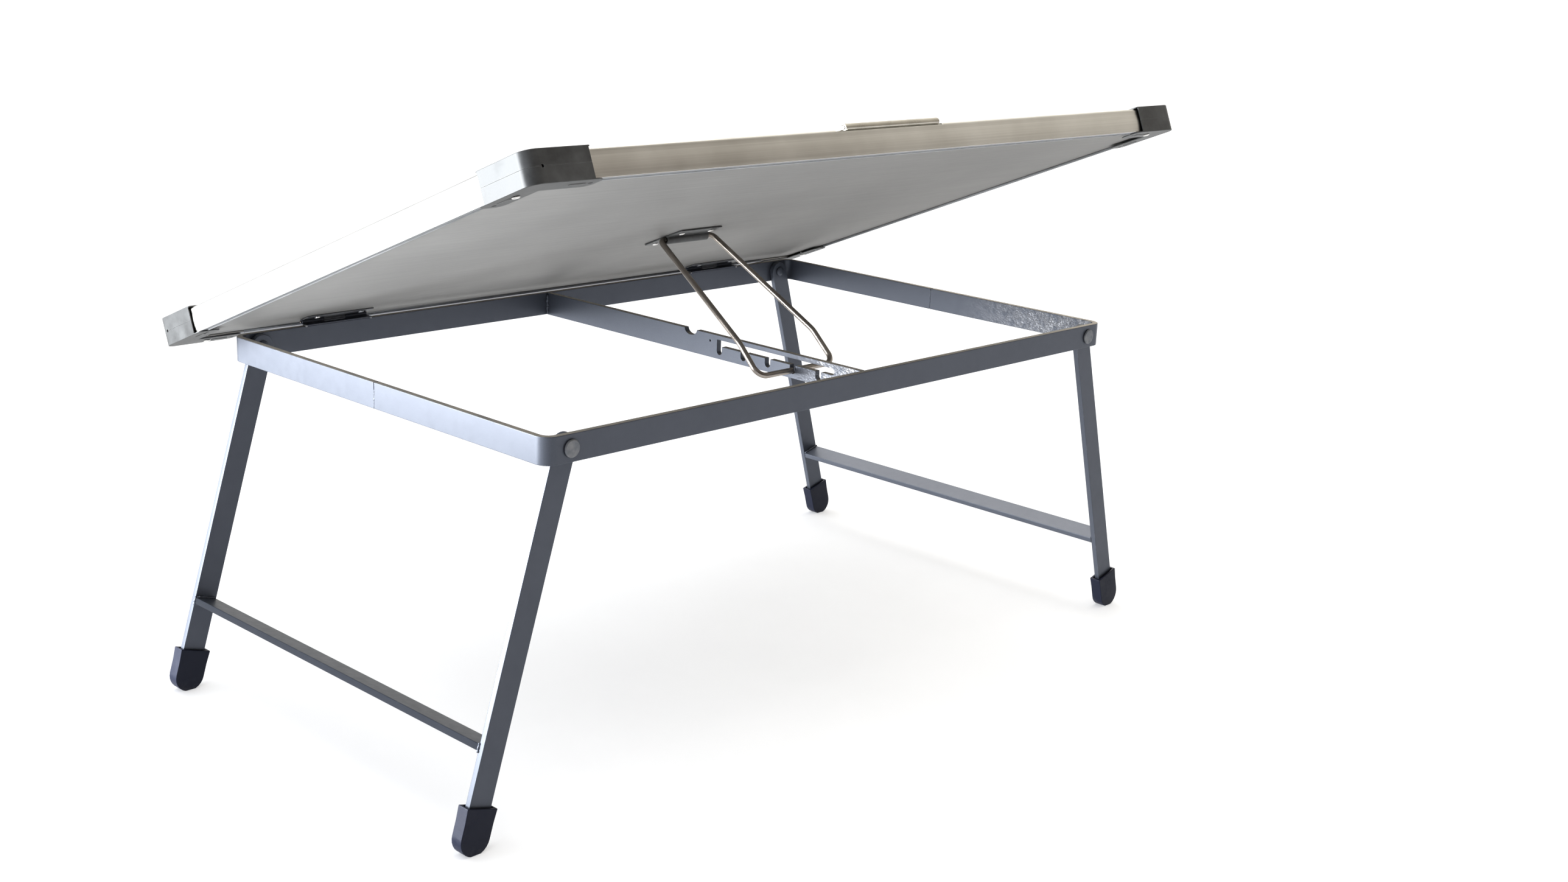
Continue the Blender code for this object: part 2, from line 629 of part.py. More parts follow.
def cap_half(name, board, place, turn, low, high, up):
    """One pressed half of a cap: a flange, side walls up or down to the seam, and a bead."""
    ends = (CAP_TAB_TOP, CAP_TOP_RADIUS) if up > 0 else (CAP_TAB, CAP_TAB_RADIUS)
    cap = prism(name, cap_outline(*ends), high - low)
    settle(cap, board, (*place, (low + high) / 2), (0, 0, turn), GALVANISED)
    floor, ceiling = (low - 0.01, high - CAP_SHEET) if up > 0 else (low + CAP_SHEET, high + 0.01)
    hollow = prism(name + "_hollow", cap_hollow_outline(), ceiling - floor, cutter=True)
    settle(hollow, board, (*place, (floor + ceiling) / 2), (0, 0, turn))
    cut(cap, hollow)
    reach = CAP_TAB + 0.01
    for label, low_xy, high_xy in (("x", (-reach, -0.03), (-CAP_ARM, 0.01)),
                                   ("y", (-0.03, -reach), (0.01, -CAP_ARM))):
        trim = block("%s_trim_%s" % (name, label), (*low_xy, floor), (*high_xy, ceiling), cutter=True)
        settle(trim, board, (*place, 0), (0, 0, turn))
        cut(cap, trim)
    seam = low if up > 0 else high
    notch = cylinders(name + "_notch", [(-CAP_NOTCH_ALONG, seam, 0.0)], CAP_NOTCH_RADIUS, 0.008, 10, True)
    notch.data.transform(Matrix.Rotation(math.pi / 2, 4, "X"))
    settle(notch, board, (*place, 0), (0, 0, turn))
    cut(cap, notch)
    outer = high if up > 0 else low
    across = CAP_FLANGE / 2
    w = EMBOSS_HALF
    for label, box in (("x", (-EMBOSS_TO, -across - w, -EMBOSS_FROM, -across + w)),
                       ("y", (-across - w, -EMBOSS_TO, -across + w, -EMBOSS_FROM))):
        bead = prism("%s_bead_%s" % (name, label), rounded_rectangle(*box, w * 0.98, 3),
                     2 * EMBOSS_RISE, cutter=True)
        settle(bead, board, (*place, outer), (0, 0, turn))
        cut(cap, bead, "UNION")
    if up > 0:
        return smooth(cap)
    holes = cylinders(name + "_holes", [(-TAB_HOLE_ALONG, -across, 0), (-across, -TAB_HOLE_ALONG, 0)],
                      TAB_HOLE_RADIUS, 0.1, 12, True)
    settle(holes, board, (*place, outer), (0, 0, turn))
    cut(cap, holes)
    return smooth(cap)


def corner_caps(board):
    """Eight pressed halves: each corner has an upper and a lower cap that meet halfway."""
    seam = RAIL_N + RAIL_HEIGHT / 2
    levels = {"top": (seam + GAP / 2, RAIL_TOP_N + CAP_OUT, 1),
              "bottom": (RAIL_N - CAP_OUT, seam - GAP / 2, -1)}
    caps = []
    for corner, (sign, edge, turn) in CORNERS.items():
        out_y = CAP_SIDE if edge > 0 else -CAP_SIDE
        place = (sign * (BOARD_LENGTH / 2 + CAP_SIDE), edge + out_y)
        for level, (low, high, up) in levels.items():
            name = "corner_cap_%s_%s" % (level, corner)
            caps.append(cap_half(name, board, place, turn, low, high, up))
    return caps


def small_rivet(name, parent, place, profile):
    """A rivet turned about the board's normal."""
    rivet = turned(name, profile, 14)
    settle(rivet, parent, (*place, 0), material=STEEL)
    return smooth(rivet)


# ------------------------------------------------------------------ prop
def prop_places():
    """Rod and foot of the prop, in (y, z), with the prop's length and its slope."""
    c, s = math.cos(BOARD_TILT), math.sin(BOARD_TILT)
    rod = Vector((HINGE_Y + PROP_ROD * c - ROD_N * s, HINGE_Z + PROP_ROD * s + ROD_N * c))
    notch = NOTCH_FIRST + (NOTCH_USED - 1) * NOTCH_PITCH
    foot = Vector((FRAME_Y + notch, FRAME_TOP + NOTCH_FLOOR + NOTCH_WIDTH / 2))
    reach = foot - rod
    return rod, foot, reach.length, math.atan2(-reach.y, reach.x)


def prop_wire(board):
    """The wire bail. Its foot is open where the centre bar stands between the two ends."""
    _, _, length, slope = prop_places()
    home = pivot("pivot_prop", (0, PROP_ROD, ROD_N), (-(BOARD_TILT + slope), 0, 0), board)
    mid = PROP_SHIFT
    end = BAR_THICK / 2 + PROP_FOOT_GAP
    kink = length * PROP_KINK
    rise = PROP_KINK_RISE
    corners = [((end, length, 0), 0),
               ((mid + PROP_FOOT_HALF, length, 0), 0.009),
               ((mid + PROP_KINK_HALF, kink, rise), 0.030),
               ((mid + PROP_TOP_HALF, 0, 0), 0.0055),
               ((mid - PROP_TOP_HALF, 0, 0), 0.0055),
               ((mid - PROP_KINK_HALF, kink, rise), 0.030),
               ((mid - PROP_FOOT_HALF, length, 0), 0.009),
               ((-end, length, 0), 0)]
    bail = wire("prop_wire", rounded_path(corners), PROP_RADIUS, 3)
    settle(bail, home, material=STEEL)
    return smooth(bail, 40)


def prop_bracket(board):
    """Sheet saddle that holds the prop's rod, with a wide flange and one long tab."""
    inner = PROP_RADIUS + GAP
    outer = inner + SADDLE_SHEET
    top = BACKING_N - GAP - ROD_N
    base = top - SADDLE_SHEET
    out_angle = math.degrees(math.asin(base / outer))
    in_angle = math.degrees(math.asin(min(1.0, top / inner - 0.0001)))
    outline = ([(SADDLE_FLANGE, base), (SADDLE_FLANGE, top)]
               + arc(0, 0, inner, in_angle, -180 - in_angle, 14)
               + [(-SADDLE_LIP, top), (-SADDLE_LIP, base)]
               + arc(0, 0, outer, -180 - out_angle, out_angle, 16))
    bracket = prism("prop_bracket", outline, SADDLE_LENGTH)
    settle(bracket, board, (PROP_SHIFT + SADDLE_SHIFT, PROP_ROD, ROD_N), UPRIGHT_X, GALVANISED)
    half = SADDLE_TAB_WIDTH / 2
    tab_outline = rounded_rectangle(-half, -SADDLE_TAB_REACH, half, -SADDLE_TAB_ROOT, SADDLE_TAB_CORNER)
    tab = prism("bracket_tab", tab_outline, SADDLE_SHEET, cutter=True)
    settle(tab, board, (PROP_SHIFT + SADDLE_TAB_SHIFT, PROP_ROD, ROD_N + (top + base) / 2))
    cut(bracket, tab, "UNION")
    return smooth(bracket)


# ------------------------------------------------------------------ paper clip
CLIP_SEAT_N = SHEET_TOP_N + GAP
CLIP_AXIS = (CLIP_X, BOARD_HIGH - CLIP_INSET, CLIP_SEAT_N + CLIP_ROLL)
CLIP_CURL = 0.0019
CLIP_PIN = 0.0009
CLIP_RIVET_X = (-0.030, 0.050)
CLIP_RIVET_Y = -0.019
JAW_WINDOW = 0.0075           # half width of the spring's window in the jaw
JAW_WINDOW_DEPTH = 0.0068


def clip_base(board):
    """Plate on the writing sheet whose rear edge is rolled up into an open tube."""
    t, r = CLIP_SHEET, CLIP_ROLL
    outline = (arc(0, 0, r, -90, 128, 18) + arc(0, 0, r - t, 128, -90, 18)
               + [(-CLIP_BASE_DEPTH, t - r), (-CLIP_BASE_DEPTH, -r)])
    length = CLIP_BASE_TO - CLIP_BASE_FROM
    base = prism("clip_base", outline, length)
    middle = (CLIP_BASE_TO + CLIP_BASE_FROM) / 2
    settle(base, board, (middle, *CLIP_AXIS[1:]), UPRIGHT_X, GALVANISED)
    for label, low, high in (("a", CLIP_X + CLIP_ROLL_HALF, 0.1), ("b", -0.1, CLIP_X - CLIP_ROLL_HALF)):
        trim = block("clip_trim_" + label, (low, -0.0022, -r + t), (high, 0.02, 0.02), cutter=True)
        settle(trim, board, (0, *CLIP_AXIS[1:]))
        cut(base, trim)
    return smooth(base)


def clip_jaw(board):
    """Jaw plate that turns on the pin inside the roll and presses on the sheet in front."""
    home = pivot("pivot_clip", CLIP_AXIS, parent=board)
    r = CLIP_CURL
    tip = -CLIP_ROLL
    top_line = [(-0.031, 0.0006), (-0.0345, -0.0022), (-0.0375, -0.0014), (-0.042, 0.0022)]
    under_line = [(-0.0425, 0.0016), (-0.0382, -0.0021), (-0.0348, tip), (-0.0312, -0.0002)]
    outline = (arc(0, 0, r, 168, -156, 20) + list(reversed(under_line)) + list(reversed(top_line)))
    jaw = prism("clip_jaw", outline, 2 * CLIP_ROLL_HALF - 0.002, holes=[ring(0, 0, CLIP_PIN + GAP, 16)])
    settle(jaw, home, (0, 0, 0), UPRIGHT_X, GALVANISED)
    room = block("spring_room", (-JAW_WINDOW, -JAW_WINDOW_DEPTH, -0.01),
                 (JAW_WINDOW, 0.01, 0.01), cutter=True)
    settle(room, home)
    cut(jaw, room)
    return smooth(jaw)


def clip_spring(board):
    """Torsion spring on the pin, with one leg under the jaw's window and one on the base."""
    coil, thick, turns, steps = 0.00165, 0.00022, 5, 10
    span = 0.008
    path = [Vector((-span / 2, -0.0055, 0.0009)), Vector((-span / 2, -0.0010, coil))]
    for i in range(turns * steps + 1):
        a = math.pi / 2 - 2 * math.pi * i / steps
        x = -span / 2 + span * i / (turns * steps)
        path.append(Vector((x, coil * math.cos(a), coil * math.sin(a))))
    half_turn = steps // 2
    for i in range(1, half_turn + 1):
        a = math.pi / 2 - 2 * math.pi * i / steps
        path.append(Vector((span / 2 + 0.0002 * i, coil * math.cos(a), coil * math.sin(a))))
    path.append(Vector((span / 2 + 0.001, -0.0055, -coil)))
    spring = wire("clip_spring", path, thick, 1)
    settle(spring, board, CLIP_AXIS, material=STEEL)
    return spring


def paper_clip(board):
    base = clip_base(board)
    clip_jaw(board)
    clip_spring(board)
    pin = cylinders("clip_pin", [(0, 0, 0)], CLIP_PIN, 2 * CLIP_ROLL_HALF - 0.001, 14)
    settle(pin, board, CLIP_AXIS, ALONG_X, STEEL)
    smooth(pin)
    return base


# ------------------------------------------------------------------ assembly
def bore(places, middle, depth, name, parent, pieces):
    """Clearance holes for small rivets, through each of the pieces."""
    holes = cylinders(name, [(x, y, middle) for x, y in places], SMALL_SHANK + GAP, depth, 14, True)
    settle(holes, parent)
    for piece in pieces:
        cut(piece, holes)


TABLE = block("table_plane", (-0.6, -0.6, -0.05), (0.6, 0.6, 0.0), cutter=True)


def assemble_base():
    halves = frame_halves()
    centre_bar()
    for side in SIDES:
        leg_frame(side)
    for end, outward in ENDS.items():
        places = [(sign * LEG_PIVOT_X, 0, 0) for sign in SIDES.values()]
        bores = cylinders("rivet_bores_" + end, places, RIVET_SHANK + GAP, 0.04, cutter=True)
        settle(bores, location=(0, FRAME_Y + outward * FRAME_DEPTH / 2, PIVOT_Z), rotation=ALONG_Y)
        cut(halves[end], bores)
        for side, sign in SIDES.items():
            leg_rivet("leg_rivet_%s_%s" % (side, end), sign * LEG_PIVOT_X, outward)


def assemble_board():
    board = pivot("pivot_board", (0, HINGE_Y, HINGE_Z), (BOARD_TILT, 0, 0))
    layers = [panel_layer("backing_sheet", board, BACKING_N, BACKING_N + SHEET_THICK, GALVANISED),
              panel_layer("core_board", board, CORE_N, CORE_TOP_N, CORE),
              panel_layer("writing_sheet", board, SHEET_TOP_N - SHEET_THICK, SHEET_TOP_N, WHITE)]
    edging = list(rails(board).values())
    caps = corner_caps(board)

    # One rivet right through each corner, with a head on each side.
    low, high = RAIL_N - CAP_OUT - GAP, RAIL_TOP_N + CAP_OUT + GAP
    shank, head = SMALL_SHANK, SMALL_HEAD
    through = [(0, high + HEAD_THICK), (head * 0.8, high + HEAD_THICK), (head, high), (shank, high),
               (shank, low), (head, low), (head * 0.8, low - HEAD_THICK), (0, low - HEAD_THICK)]
    places = {}
    for corner, (sign, edge, turn) in CORNERS.items():
        inward = Vector((-CAP_RIVET_IN, -CAP_RIVET_ALONG))
        inward.rotate(Matrix.Rotation(turn, 2))
        places[corner] = (sign * BOARD_LENGTH / 2 + inward.x, edge + inward.y)
        small_rivet("cap_rivet_" + corner, board, places[corner], through)
    bore(places.values(), 0.01, 0.06, "cap_bores", board, layers + caps + edging)

    # Blind rivets of the hinges and the prop's bracket, up into the core.
    leaves = [hinge(side, board) for side in SIDES]
    bracket = prop_bracket(board)
    tail = CORE_N + BLIND_DEPTH
    places = {"bracket_rivet_tab": (PROP_SHIFT + SADDLE_TAB_SHIFT, PROP_ROD - SADDLE_TAB_RIVET)}
    for side, along in SADDLE_RIVET_X.items():
        places["bracket_rivet_" + side] = (PROP_SHIFT + along, PROP_ROD + SADDLE_RIVET_OUT)
    for side, sign in SIDES.items():
        for label, along in (("outer", sign * HINGE_RIVET_ALONG), ("inner", -sign * HINGE_RIVET_ALONG)):
            places["hinge_rivet_%s_%s" % (side, label)] = (HINGE_X[side] + along, HINGE_RIVET_IN)
    for name, place in places.items():
        plate = HINGE_PLATE if name.startswith("hinge") else SADDLE_SHEET
        grip = BACKING_N - GAP - plate - GAP
        blind = [(0, tail), (shank, tail), (shank, grip), (head * 0.9, grip),
                 (head * 0.6, grip - HEAD_THICK), (0, grip - HEAD_THICK)]
        small_rivet(name, board, place, blind)
    bore(places.values(), 0, 2 * (tail + GAP), "blind_bores", board, layers[:2] + leaves + [bracket])

    prop_wire(board)
    base = paper_clip(board)

    # Two rivets hold the clip's base on the writing sheet.
    seat = CLIP_SEAT_N + CLIP_SHEET + GAP
    stem = SHEET_TOP_N - SHEET_THICK - GAP - 0.003
    peg = [(0, seat + 0.0005), (0.0018, seat + 0.0005), (0.0022, seat), (shank, seat),
           (shank, stem), (0, stem)]
    places = {"clip_rivet_left": (CLIP_RIVET_X[0], CLIP_AXIS[1] + CLIP_RIVET_Y),
              "clip_rivet_right": (CLIP_RIVET_X[1], CLIP_AXIS[1] + CLIP_RIVET_Y)}
    for name, place in places.items():
        small_rivet(name, board, place, peg)
    bore(places.values(), seat + GAP, 2 * (seat - stem + 2 * GAP), "clip_bores", board,
         [layers[1], layers[2], base])


assemble_base()
assemble_board()
bpy.context.view_layer.update()
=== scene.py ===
"""Looks of the tabletop easel: rounded and welded metal, drawn rails, pressed caps, rubber feet."""
import json
import math
import random

import bmesh
import bpy
from mathutils import Matrix, Vector

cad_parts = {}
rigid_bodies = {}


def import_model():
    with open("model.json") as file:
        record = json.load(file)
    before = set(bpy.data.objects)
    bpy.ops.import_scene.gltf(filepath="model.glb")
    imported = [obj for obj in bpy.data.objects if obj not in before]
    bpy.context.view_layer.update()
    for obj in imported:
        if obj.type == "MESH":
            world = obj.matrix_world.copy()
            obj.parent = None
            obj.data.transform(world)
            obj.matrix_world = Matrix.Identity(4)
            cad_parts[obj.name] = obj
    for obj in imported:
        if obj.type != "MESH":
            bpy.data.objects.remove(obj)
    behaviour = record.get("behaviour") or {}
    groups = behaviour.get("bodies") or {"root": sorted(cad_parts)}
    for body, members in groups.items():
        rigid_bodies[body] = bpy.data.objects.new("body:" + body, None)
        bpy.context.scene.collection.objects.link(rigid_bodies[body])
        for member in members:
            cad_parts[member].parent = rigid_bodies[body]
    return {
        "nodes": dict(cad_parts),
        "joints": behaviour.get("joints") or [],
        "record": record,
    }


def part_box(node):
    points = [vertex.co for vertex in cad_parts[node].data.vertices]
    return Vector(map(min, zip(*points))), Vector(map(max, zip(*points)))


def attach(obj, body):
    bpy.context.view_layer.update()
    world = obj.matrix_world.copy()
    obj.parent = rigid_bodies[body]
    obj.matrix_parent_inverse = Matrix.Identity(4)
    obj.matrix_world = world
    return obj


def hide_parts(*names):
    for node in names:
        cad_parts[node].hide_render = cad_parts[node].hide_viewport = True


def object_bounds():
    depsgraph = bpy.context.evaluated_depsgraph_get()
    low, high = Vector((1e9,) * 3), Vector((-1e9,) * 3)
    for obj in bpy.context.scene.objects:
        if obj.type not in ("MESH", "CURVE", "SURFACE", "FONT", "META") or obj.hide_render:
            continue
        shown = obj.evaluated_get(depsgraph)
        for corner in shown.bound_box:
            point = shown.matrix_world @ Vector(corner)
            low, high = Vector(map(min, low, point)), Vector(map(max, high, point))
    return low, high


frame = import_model()
cad_low, cad_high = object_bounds()

MM = 0.001
JOINTS = {joint["name"]: joint for joint in frame["joints"]}
SLOT_OF = {part["node"]: part["material_slot"] for part in frame["record"]["subparts"]}
BODY_OF = {node: body for body, nodes in frame["record"]["behaviour"]["bodies"].items() for node in nodes}

# ------------------------------------------------------------------ places read from the frame
HINGE = Vector(JOINTS["board_tilt"]["pos_m"])
TILT = math.radians(-JOINTS["board_tilt"]["range_deg"][0])
LEG_PIVOT = Vector(JOINTS["legs_right_fold"]["pos_m"])
FRAME_LOW, FRAME_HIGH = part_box("frame_half_front")
FRAME_TOP = FRAME_HIGH.z
FRAME_HALF_X = FRAME_HIGH.x
FRAME_Y = LEG_PIVOT.y
FRAME_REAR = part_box("frame_half_rear")[1].y
FRAME_FRONT = FRAME_LOW.y
BAR_LOW = FRAME_LOW.z
BAR = 5 * MM                    # thickness of the flat bar
BOARD = Matrix.Translation(HINGE) @ Matrix.Rotation(TILT, 4, "X")
BOARD_BACK = BOARD.inverted()
LEG_SPLAY = math.radians(16.5)

# ------------------------------------------------------------------ places on the board, square to it
RAIL_V = (-34 * MM, 456 * MM)
RAIL_HALF_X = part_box("rail_right")[1].x
RAIL_N = 0.75 * MM
RAIL_TOP_N = RAIL_N + 20 * MM
SEAM_N = (RAIL_N + RAIL_TOP_N) / 2
LIP, LIP_FRONT = 6 * MM, 18 * MM    # reach of the rails' lower lips
CAP_SIDE = 1.8 * MM                 # how far a cap's walls stand outside the rails
CAP_OUT = 1.2 * MM                  # and its flanges above or below them
CAP_TAB = 60 * MM                   # length of its lower flanges, from the corner


# ------------------------------------------------------------------ node graphs
class Graph:
    """A material's node tree, built one call at a time."""

    def __init__(self, name):
        self.material = bpy.data.materials.new(name)
        self.material.use_nodes = True
        self.tree = self.material.node_tree
        self.shader = self.tree.nodes["Principled BSDF"]

    def add(self, kind, output=0, settings=None, **inputs):
        node = self.tree.nodes.new(kind)
        for key, value in (settings or {}).items():
            setattr(node, key, value)
        for key, value in inputs.items():
            self.put(node, key.replace("_", " "), value)
        return node.outputs[output]

    def put(self, node, key, value):
        socket = node.inputs[int(key[1:])] if key[0] == "i" and key[1:].isdigit() else node.inputs[key]
        if isinstance(value, bpy.types.NodeSocket):
            self.tree.links.new(value, socket)
        else:
            socket.default_value = value

    def set(self, **inputs):
        for key, value in inputs.items():
            self.put(self.shader, key.replace("_", " "), value)

    def math(self, operation, a, b=0.0, clamp=False):
        return self.add("ShaderNodeMath", settings={"operation": operation, "use_clamp": clamp}, i0=a, i1=b)

    def mapped(self, value, low, high, to_low=0.0, to_high=1.0):
        return self.add("ShaderNodeMapRange", Value=value, From_Min=low, From_Max=high,
                        To_Min=to_low, To_Max=to_high)

    def place(self):
        return self.add("ShaderNodeTexCoord", output=3)

    def axes(self, vector):
        node = self.tree.nodes.new("ShaderNodeSeparateXYZ")
        self.tree.links.new(vector, node.inputs[0])
        return node.outputs

    def noise(self, vector, scale, detail=3.0, rough=0.5):
        return self.add("ShaderNodeTexNoise", Vector=vector, Scale=scale, Detail=detail, Roughness=rough)

    def stretched(self, vector, scale, turn=(0.0, 0.0, 0.0)):
        turned = self.add("ShaderNodeMapping", Vector=vector, Rotation=turn)
        return self.add("ShaderNodeMapping", Vector=turned, Scale=scale)

    def blend(self, factor, a, b):
        node = self.tree.nodes.new("ShaderNodeMix")
        node.data_type = "RGBA"
        for socket, value in ((node.inputs[0], factor), (node.inputs[6], a), (node.inputs[7], b)):
            if isinstance(value, bpy.types.NodeSocket):
                self.tree.links.new(value, socket)
            else:
                socket.default_value = (*value, 1.0) if isinstance(value, tuple) else value
        return node.outputs[2]

    def bump(self, height, distance, strength=1.0, normal=None):
        extra = {} if normal is None else {"Normal": normal}
        return self.add("ShaderNodeBump", Height=height, Distance=distance, Strength=strength, **extra)

    def edges(self, radius):
        """1 along sharp outer edges, 0 on flat faces."""
        rounded = self.add("ShaderNodeBevel", settings={"samples": 4}, Radius=radius)
        flat = self.add("ShaderNodeNewGeometry", output=3)
        facing = self.add("ShaderNodeVectorMath", output=1, settings={"operation": "DOT_PRODUCT"},
                          i0=rounded, i1=flat)
        return self.mapped(facing, 0.985, 0.80)

    def upward(self):
        """Height of the surface's normal: 1 facing up, -1 facing down."""
        return self.axes(self.add("ShaderNodeNewGeometry", output=1))[2]


# ------------------------------------------------------------------ materials
BOARD_TURN = (-TILT, 0.0, 0.0)      # lays streaks along the tilted board
PAINT_DARK, PAINT_LIGHT = (0.112, 0.124, 0.150), (0.138, 0.150, 0.178)
BLISTERED = (0.36, 0.36, 0.37)
BARE_STEEL = (0.50, 0.49, 0.46)
# The warm grey below is laid on up-facing painted faces: partly dust, partly a painted highlight on the top
# faces.
DUST_AND_PAINTED_HIGHLIGHT = (0.46, 0.42, 0.36)


def paint(name, blister=None, dust_and_highlight=False):
    """Silver-grey paint on flat bar: faint flake, worn edges, blisters near the welds, and up-facing faces
    lightened to a warm grey, partly dust and partly a painted highlight.
    """
    g = Graph(name)
    at = g.place()
    cloud = g.noise(at, 22.0, 4.0, 0.6)
    flake = g.noise(at, 2600.0, 2.0, 0.6)
    tone = g.math("ADD", g.math("MULTIPLY", cloud, 0.30), g.math("MULTIPLY", flake, 0.70))
    colour = g.blend(g.mapped(tone, 0.32, 0.68), PAINT_DARK, PAINT_LIGHT)
    scuff = g.mapped(g.noise(at, 90.0, 5.0, 0.75), 0.56, 0.70)
    worn = g.math("MULTIPLY", g.edges(0.9 * MM), scuff, clamp=True)
    colour = g.blend(g.math("MULTIPLY", worn, 0.75), colour, BARE_STEEL)
    peel = g.noise(at, 520.0, 3.0, 0.5)
    height = g.math("MULTIPLY", peel, 0.10)
    roughness = g.mapped(g.noise(at, 160.0, 4.0), 0.3, 0.7, 0.38, 0.45)
    if blister is not None:
        wrinkle = g.add("ShaderNodeTexVoronoi", settings={"feature": "SMOOTH_F1"},
                        Vector=g.stretched(at, (1.0, 0.8, 1.3)), Scale=620.0)
        mask = blister(g, at)
        patches = g.math("MULTIPLY", mask, g.mapped(g.noise(at, 140.0, 4.0, 0.7), 0.36, 0.54))
        height = g.math("ADD", height, g.math("MULTIPLY", g.math("MULTIPLY", wrinkle, patches), 2.4))
        colour = g.blend(g.math("MULTIPLY", patches, 0.55), colour, BLISTERED)
        roughness = g.math("SUBTRACT", roughness, g.math("MULTIPLY", patches, 0.10))
    # Up-facing faces are lightened towards a warm grey: partly dust, partly a painted highlight where the
    # tops catch the light.
    if dust_and_highlight:
        dust_and_highlight_film = g.math("MULTIPLY", g.mapped(g.upward(), 0.75, 0.98), g.mapped(cloud, 0.30, 0.60, 0.55, 0.90))
        colour = g.blend(dust_and_highlight_film, colour, DUST_AND_PAINTED_HIGHLIGHT)
    g.set(Base_Color=colour, Metallic=0.35, Roughness=roughness, Specular_IOR_Level=0.4,
          Coat_Weight=0.12, Coat_Roughness=0.32, Normal=g.bump(height, 0.35 * MM, 0.7))
    return g.material


def rear_frame_blister(g, at):
    """Wrinkled paint on the inner face of the left short bar, towards the rear corner."""
    x, y, _ = g.axes(at)
    inner = g.math("LESS_THAN", g.math("ABSOLUTE", g.math("ADD", x, FRAME_HALF_X - BAR)), 0.9 * MM)
    return g.math("MULTIPLY", inner, g.mapped(y, FRAME_Y + 0.035, FRAME_REAR - 0.03))


def centre_bar_blister(g, at):
    """The same at the centre bar's rear end, beside its weld."""
    _, y, _ = g.axes(at)
    return g.mapped(y, FRAME_Y + 0.115, FRAME_Y + 0.165)


def metal(name, dark, light, roughness, cloud_scale, streak=None, streak_share=0.5, wave=0.0,
          metallic=1.0, specular=0.5, edge=None, dull_and_shaded=None):
    """Bare or plated metal with cloudy tone, drawn streaks along one way and soft dents; down-facing faces
    can be made rougher, less metallic and darker, the darker colour a painted shade.
    """
    g = Graph(name)
    at = g.place()
    tone = g.noise(at, cloud_scale, 4.0, 0.6)
    height = g.math("MULTIPLY", g.noise(at, 900.0, 2.0), 0.05)
    if streak is not None:
        lines = g.noise(g.stretched(at, streak, BOARD_TURN), 1.0, 3.0, 0.65)
        tone = g.math("ADD", g.math("MULTIPLY", tone, 1 - streak_share),
                      g.math("MULTIPLY", lines, streak_share))
        height = g.math("ADD", height, g.math("MULTIPLY", lines, 0.25))
    if wave > 0:
        height = g.math("ADD", height, g.math("MULTIPLY", g.noise(at, 45.0, 2.0), wave))
    colour = g.blend(g.mapped(tone, 0.36, 0.64), dark, light)
    if edge is not None:
        colour = g.blend(g.math("MULTIPLY", g.edges(0.6 * MM), 0.6), colour, edge)
    spread = g.mapped(tone, 0.3, 0.7, roughness[0], roughness[1])
    # Down-facing faces: rougher and less metallic, and darkened in colour, which is painted shade.
    if dull_and_shaded is not None:
        under = g.mapped(g.upward(), -0.30, -0.80)
        colour = g.blend(under, colour, dull_and_shaded)
        metallic = g.math("MULTIPLY", g.math("SUBTRACT", 1.0, g.math("MULTIPLY", under, 0.7)), metallic)
        spread = g.math("ADD", spread, g.math("MULTIPLY", under, 0.25))
    g.set(Base_Color=colour, Metallic=metallic, Roughness=spread, Specular_IOR_Level=specular,
          Normal=g.bump(height, 0.25 * MM, 0.6))
    return g.material


def rubber(name):
    """Blue-black moulded rubber with a dusty bloom and scuffs low down."""
    g = Graph(name)
    at = g.place()
    _, _, z = g.axes(at)
    dust = g.mapped(g.noise(at, 150.0, 5.0, 0.7), 0.45, 0.75)
    low = g.mapped(z, 0.010, 0.0)
    colour = g.blend(g.math("MULTIPLY", dust, 0.35), (0.014, 0.018, 0.038), (0.030, 0.035, 0.060))
    colour = g.blend(g.math("MULTIPLY", g.math("MULTIPLY", low, dust), 0.6), colour, (0.10, 0.10, 0.11))
    height = g.math("ADD", g.noise(at, 1400.0, 3.0, 0.6), g.math("MULTIPLY", g.noise(at, 160.0, 2.0), 0.8))
    g.set(Base_Color=colour, Roughness=g.mapped(dust, 0.0, 1.0, 0.42, 0.62), Specular_IOR_Level=0.45,
          Normal=g.bump(height, 0.12 * MM, 0.5))
    return g.material


def laminate(name):
    """White gloss writing sheet with faint wiped-off smears and hairline scratches."""
    g = Graph(name)
    at = g.place()
    smear = g.noise(g.stretched(at, (5.0, 26.0, 26.0)), 1.0, 5.0, 0.7)
    scratch = g.mapped(g.noise(g.stretched(at, (14.0, 900.0, 900.0), (0.0, 0.0, 0.4)), 1.0, 2.0), 0.66, 0.72)
    colour = g.blend(g.mapped(smear, 0.45, 0.75), (0.86, 0.86, 0.84), (0.76, 0.77, 0.78))
    colour = g.blend(g.math("MULTIPLY", scratch, 0.3), colour, (0.60, 0.61, 0.62))
    g.set(Base_Color=colour, Roughness=g.mapped(smear, 0.35, 0.7, 0.16, 0.34), Specular_IOR_Level=0.5,
          Normal=g.bump(g.noise(at, 35.0, 2.0), 0.05 * MM, 0.3))
    return g.material


def fibre(name):
    """Pressed board, seen only inside the rivet holes and between the sheets."""
    g = Graph(name)
    at = g.place()
    chips = g.add("ShaderNodeTexVoronoi", Vector=g.stretched(at, (1.0, 1.0, 4.0)), Scale=260.0)
    colour = g.blend(chips, (0.30, 0.21, 0.13), (0.52, 0.40, 0.27))
    g.set(Base_Color=colour, Roughness=0.9, Normal=g.bump(chips, 0.4 * MM, 0.6))
    return g.material
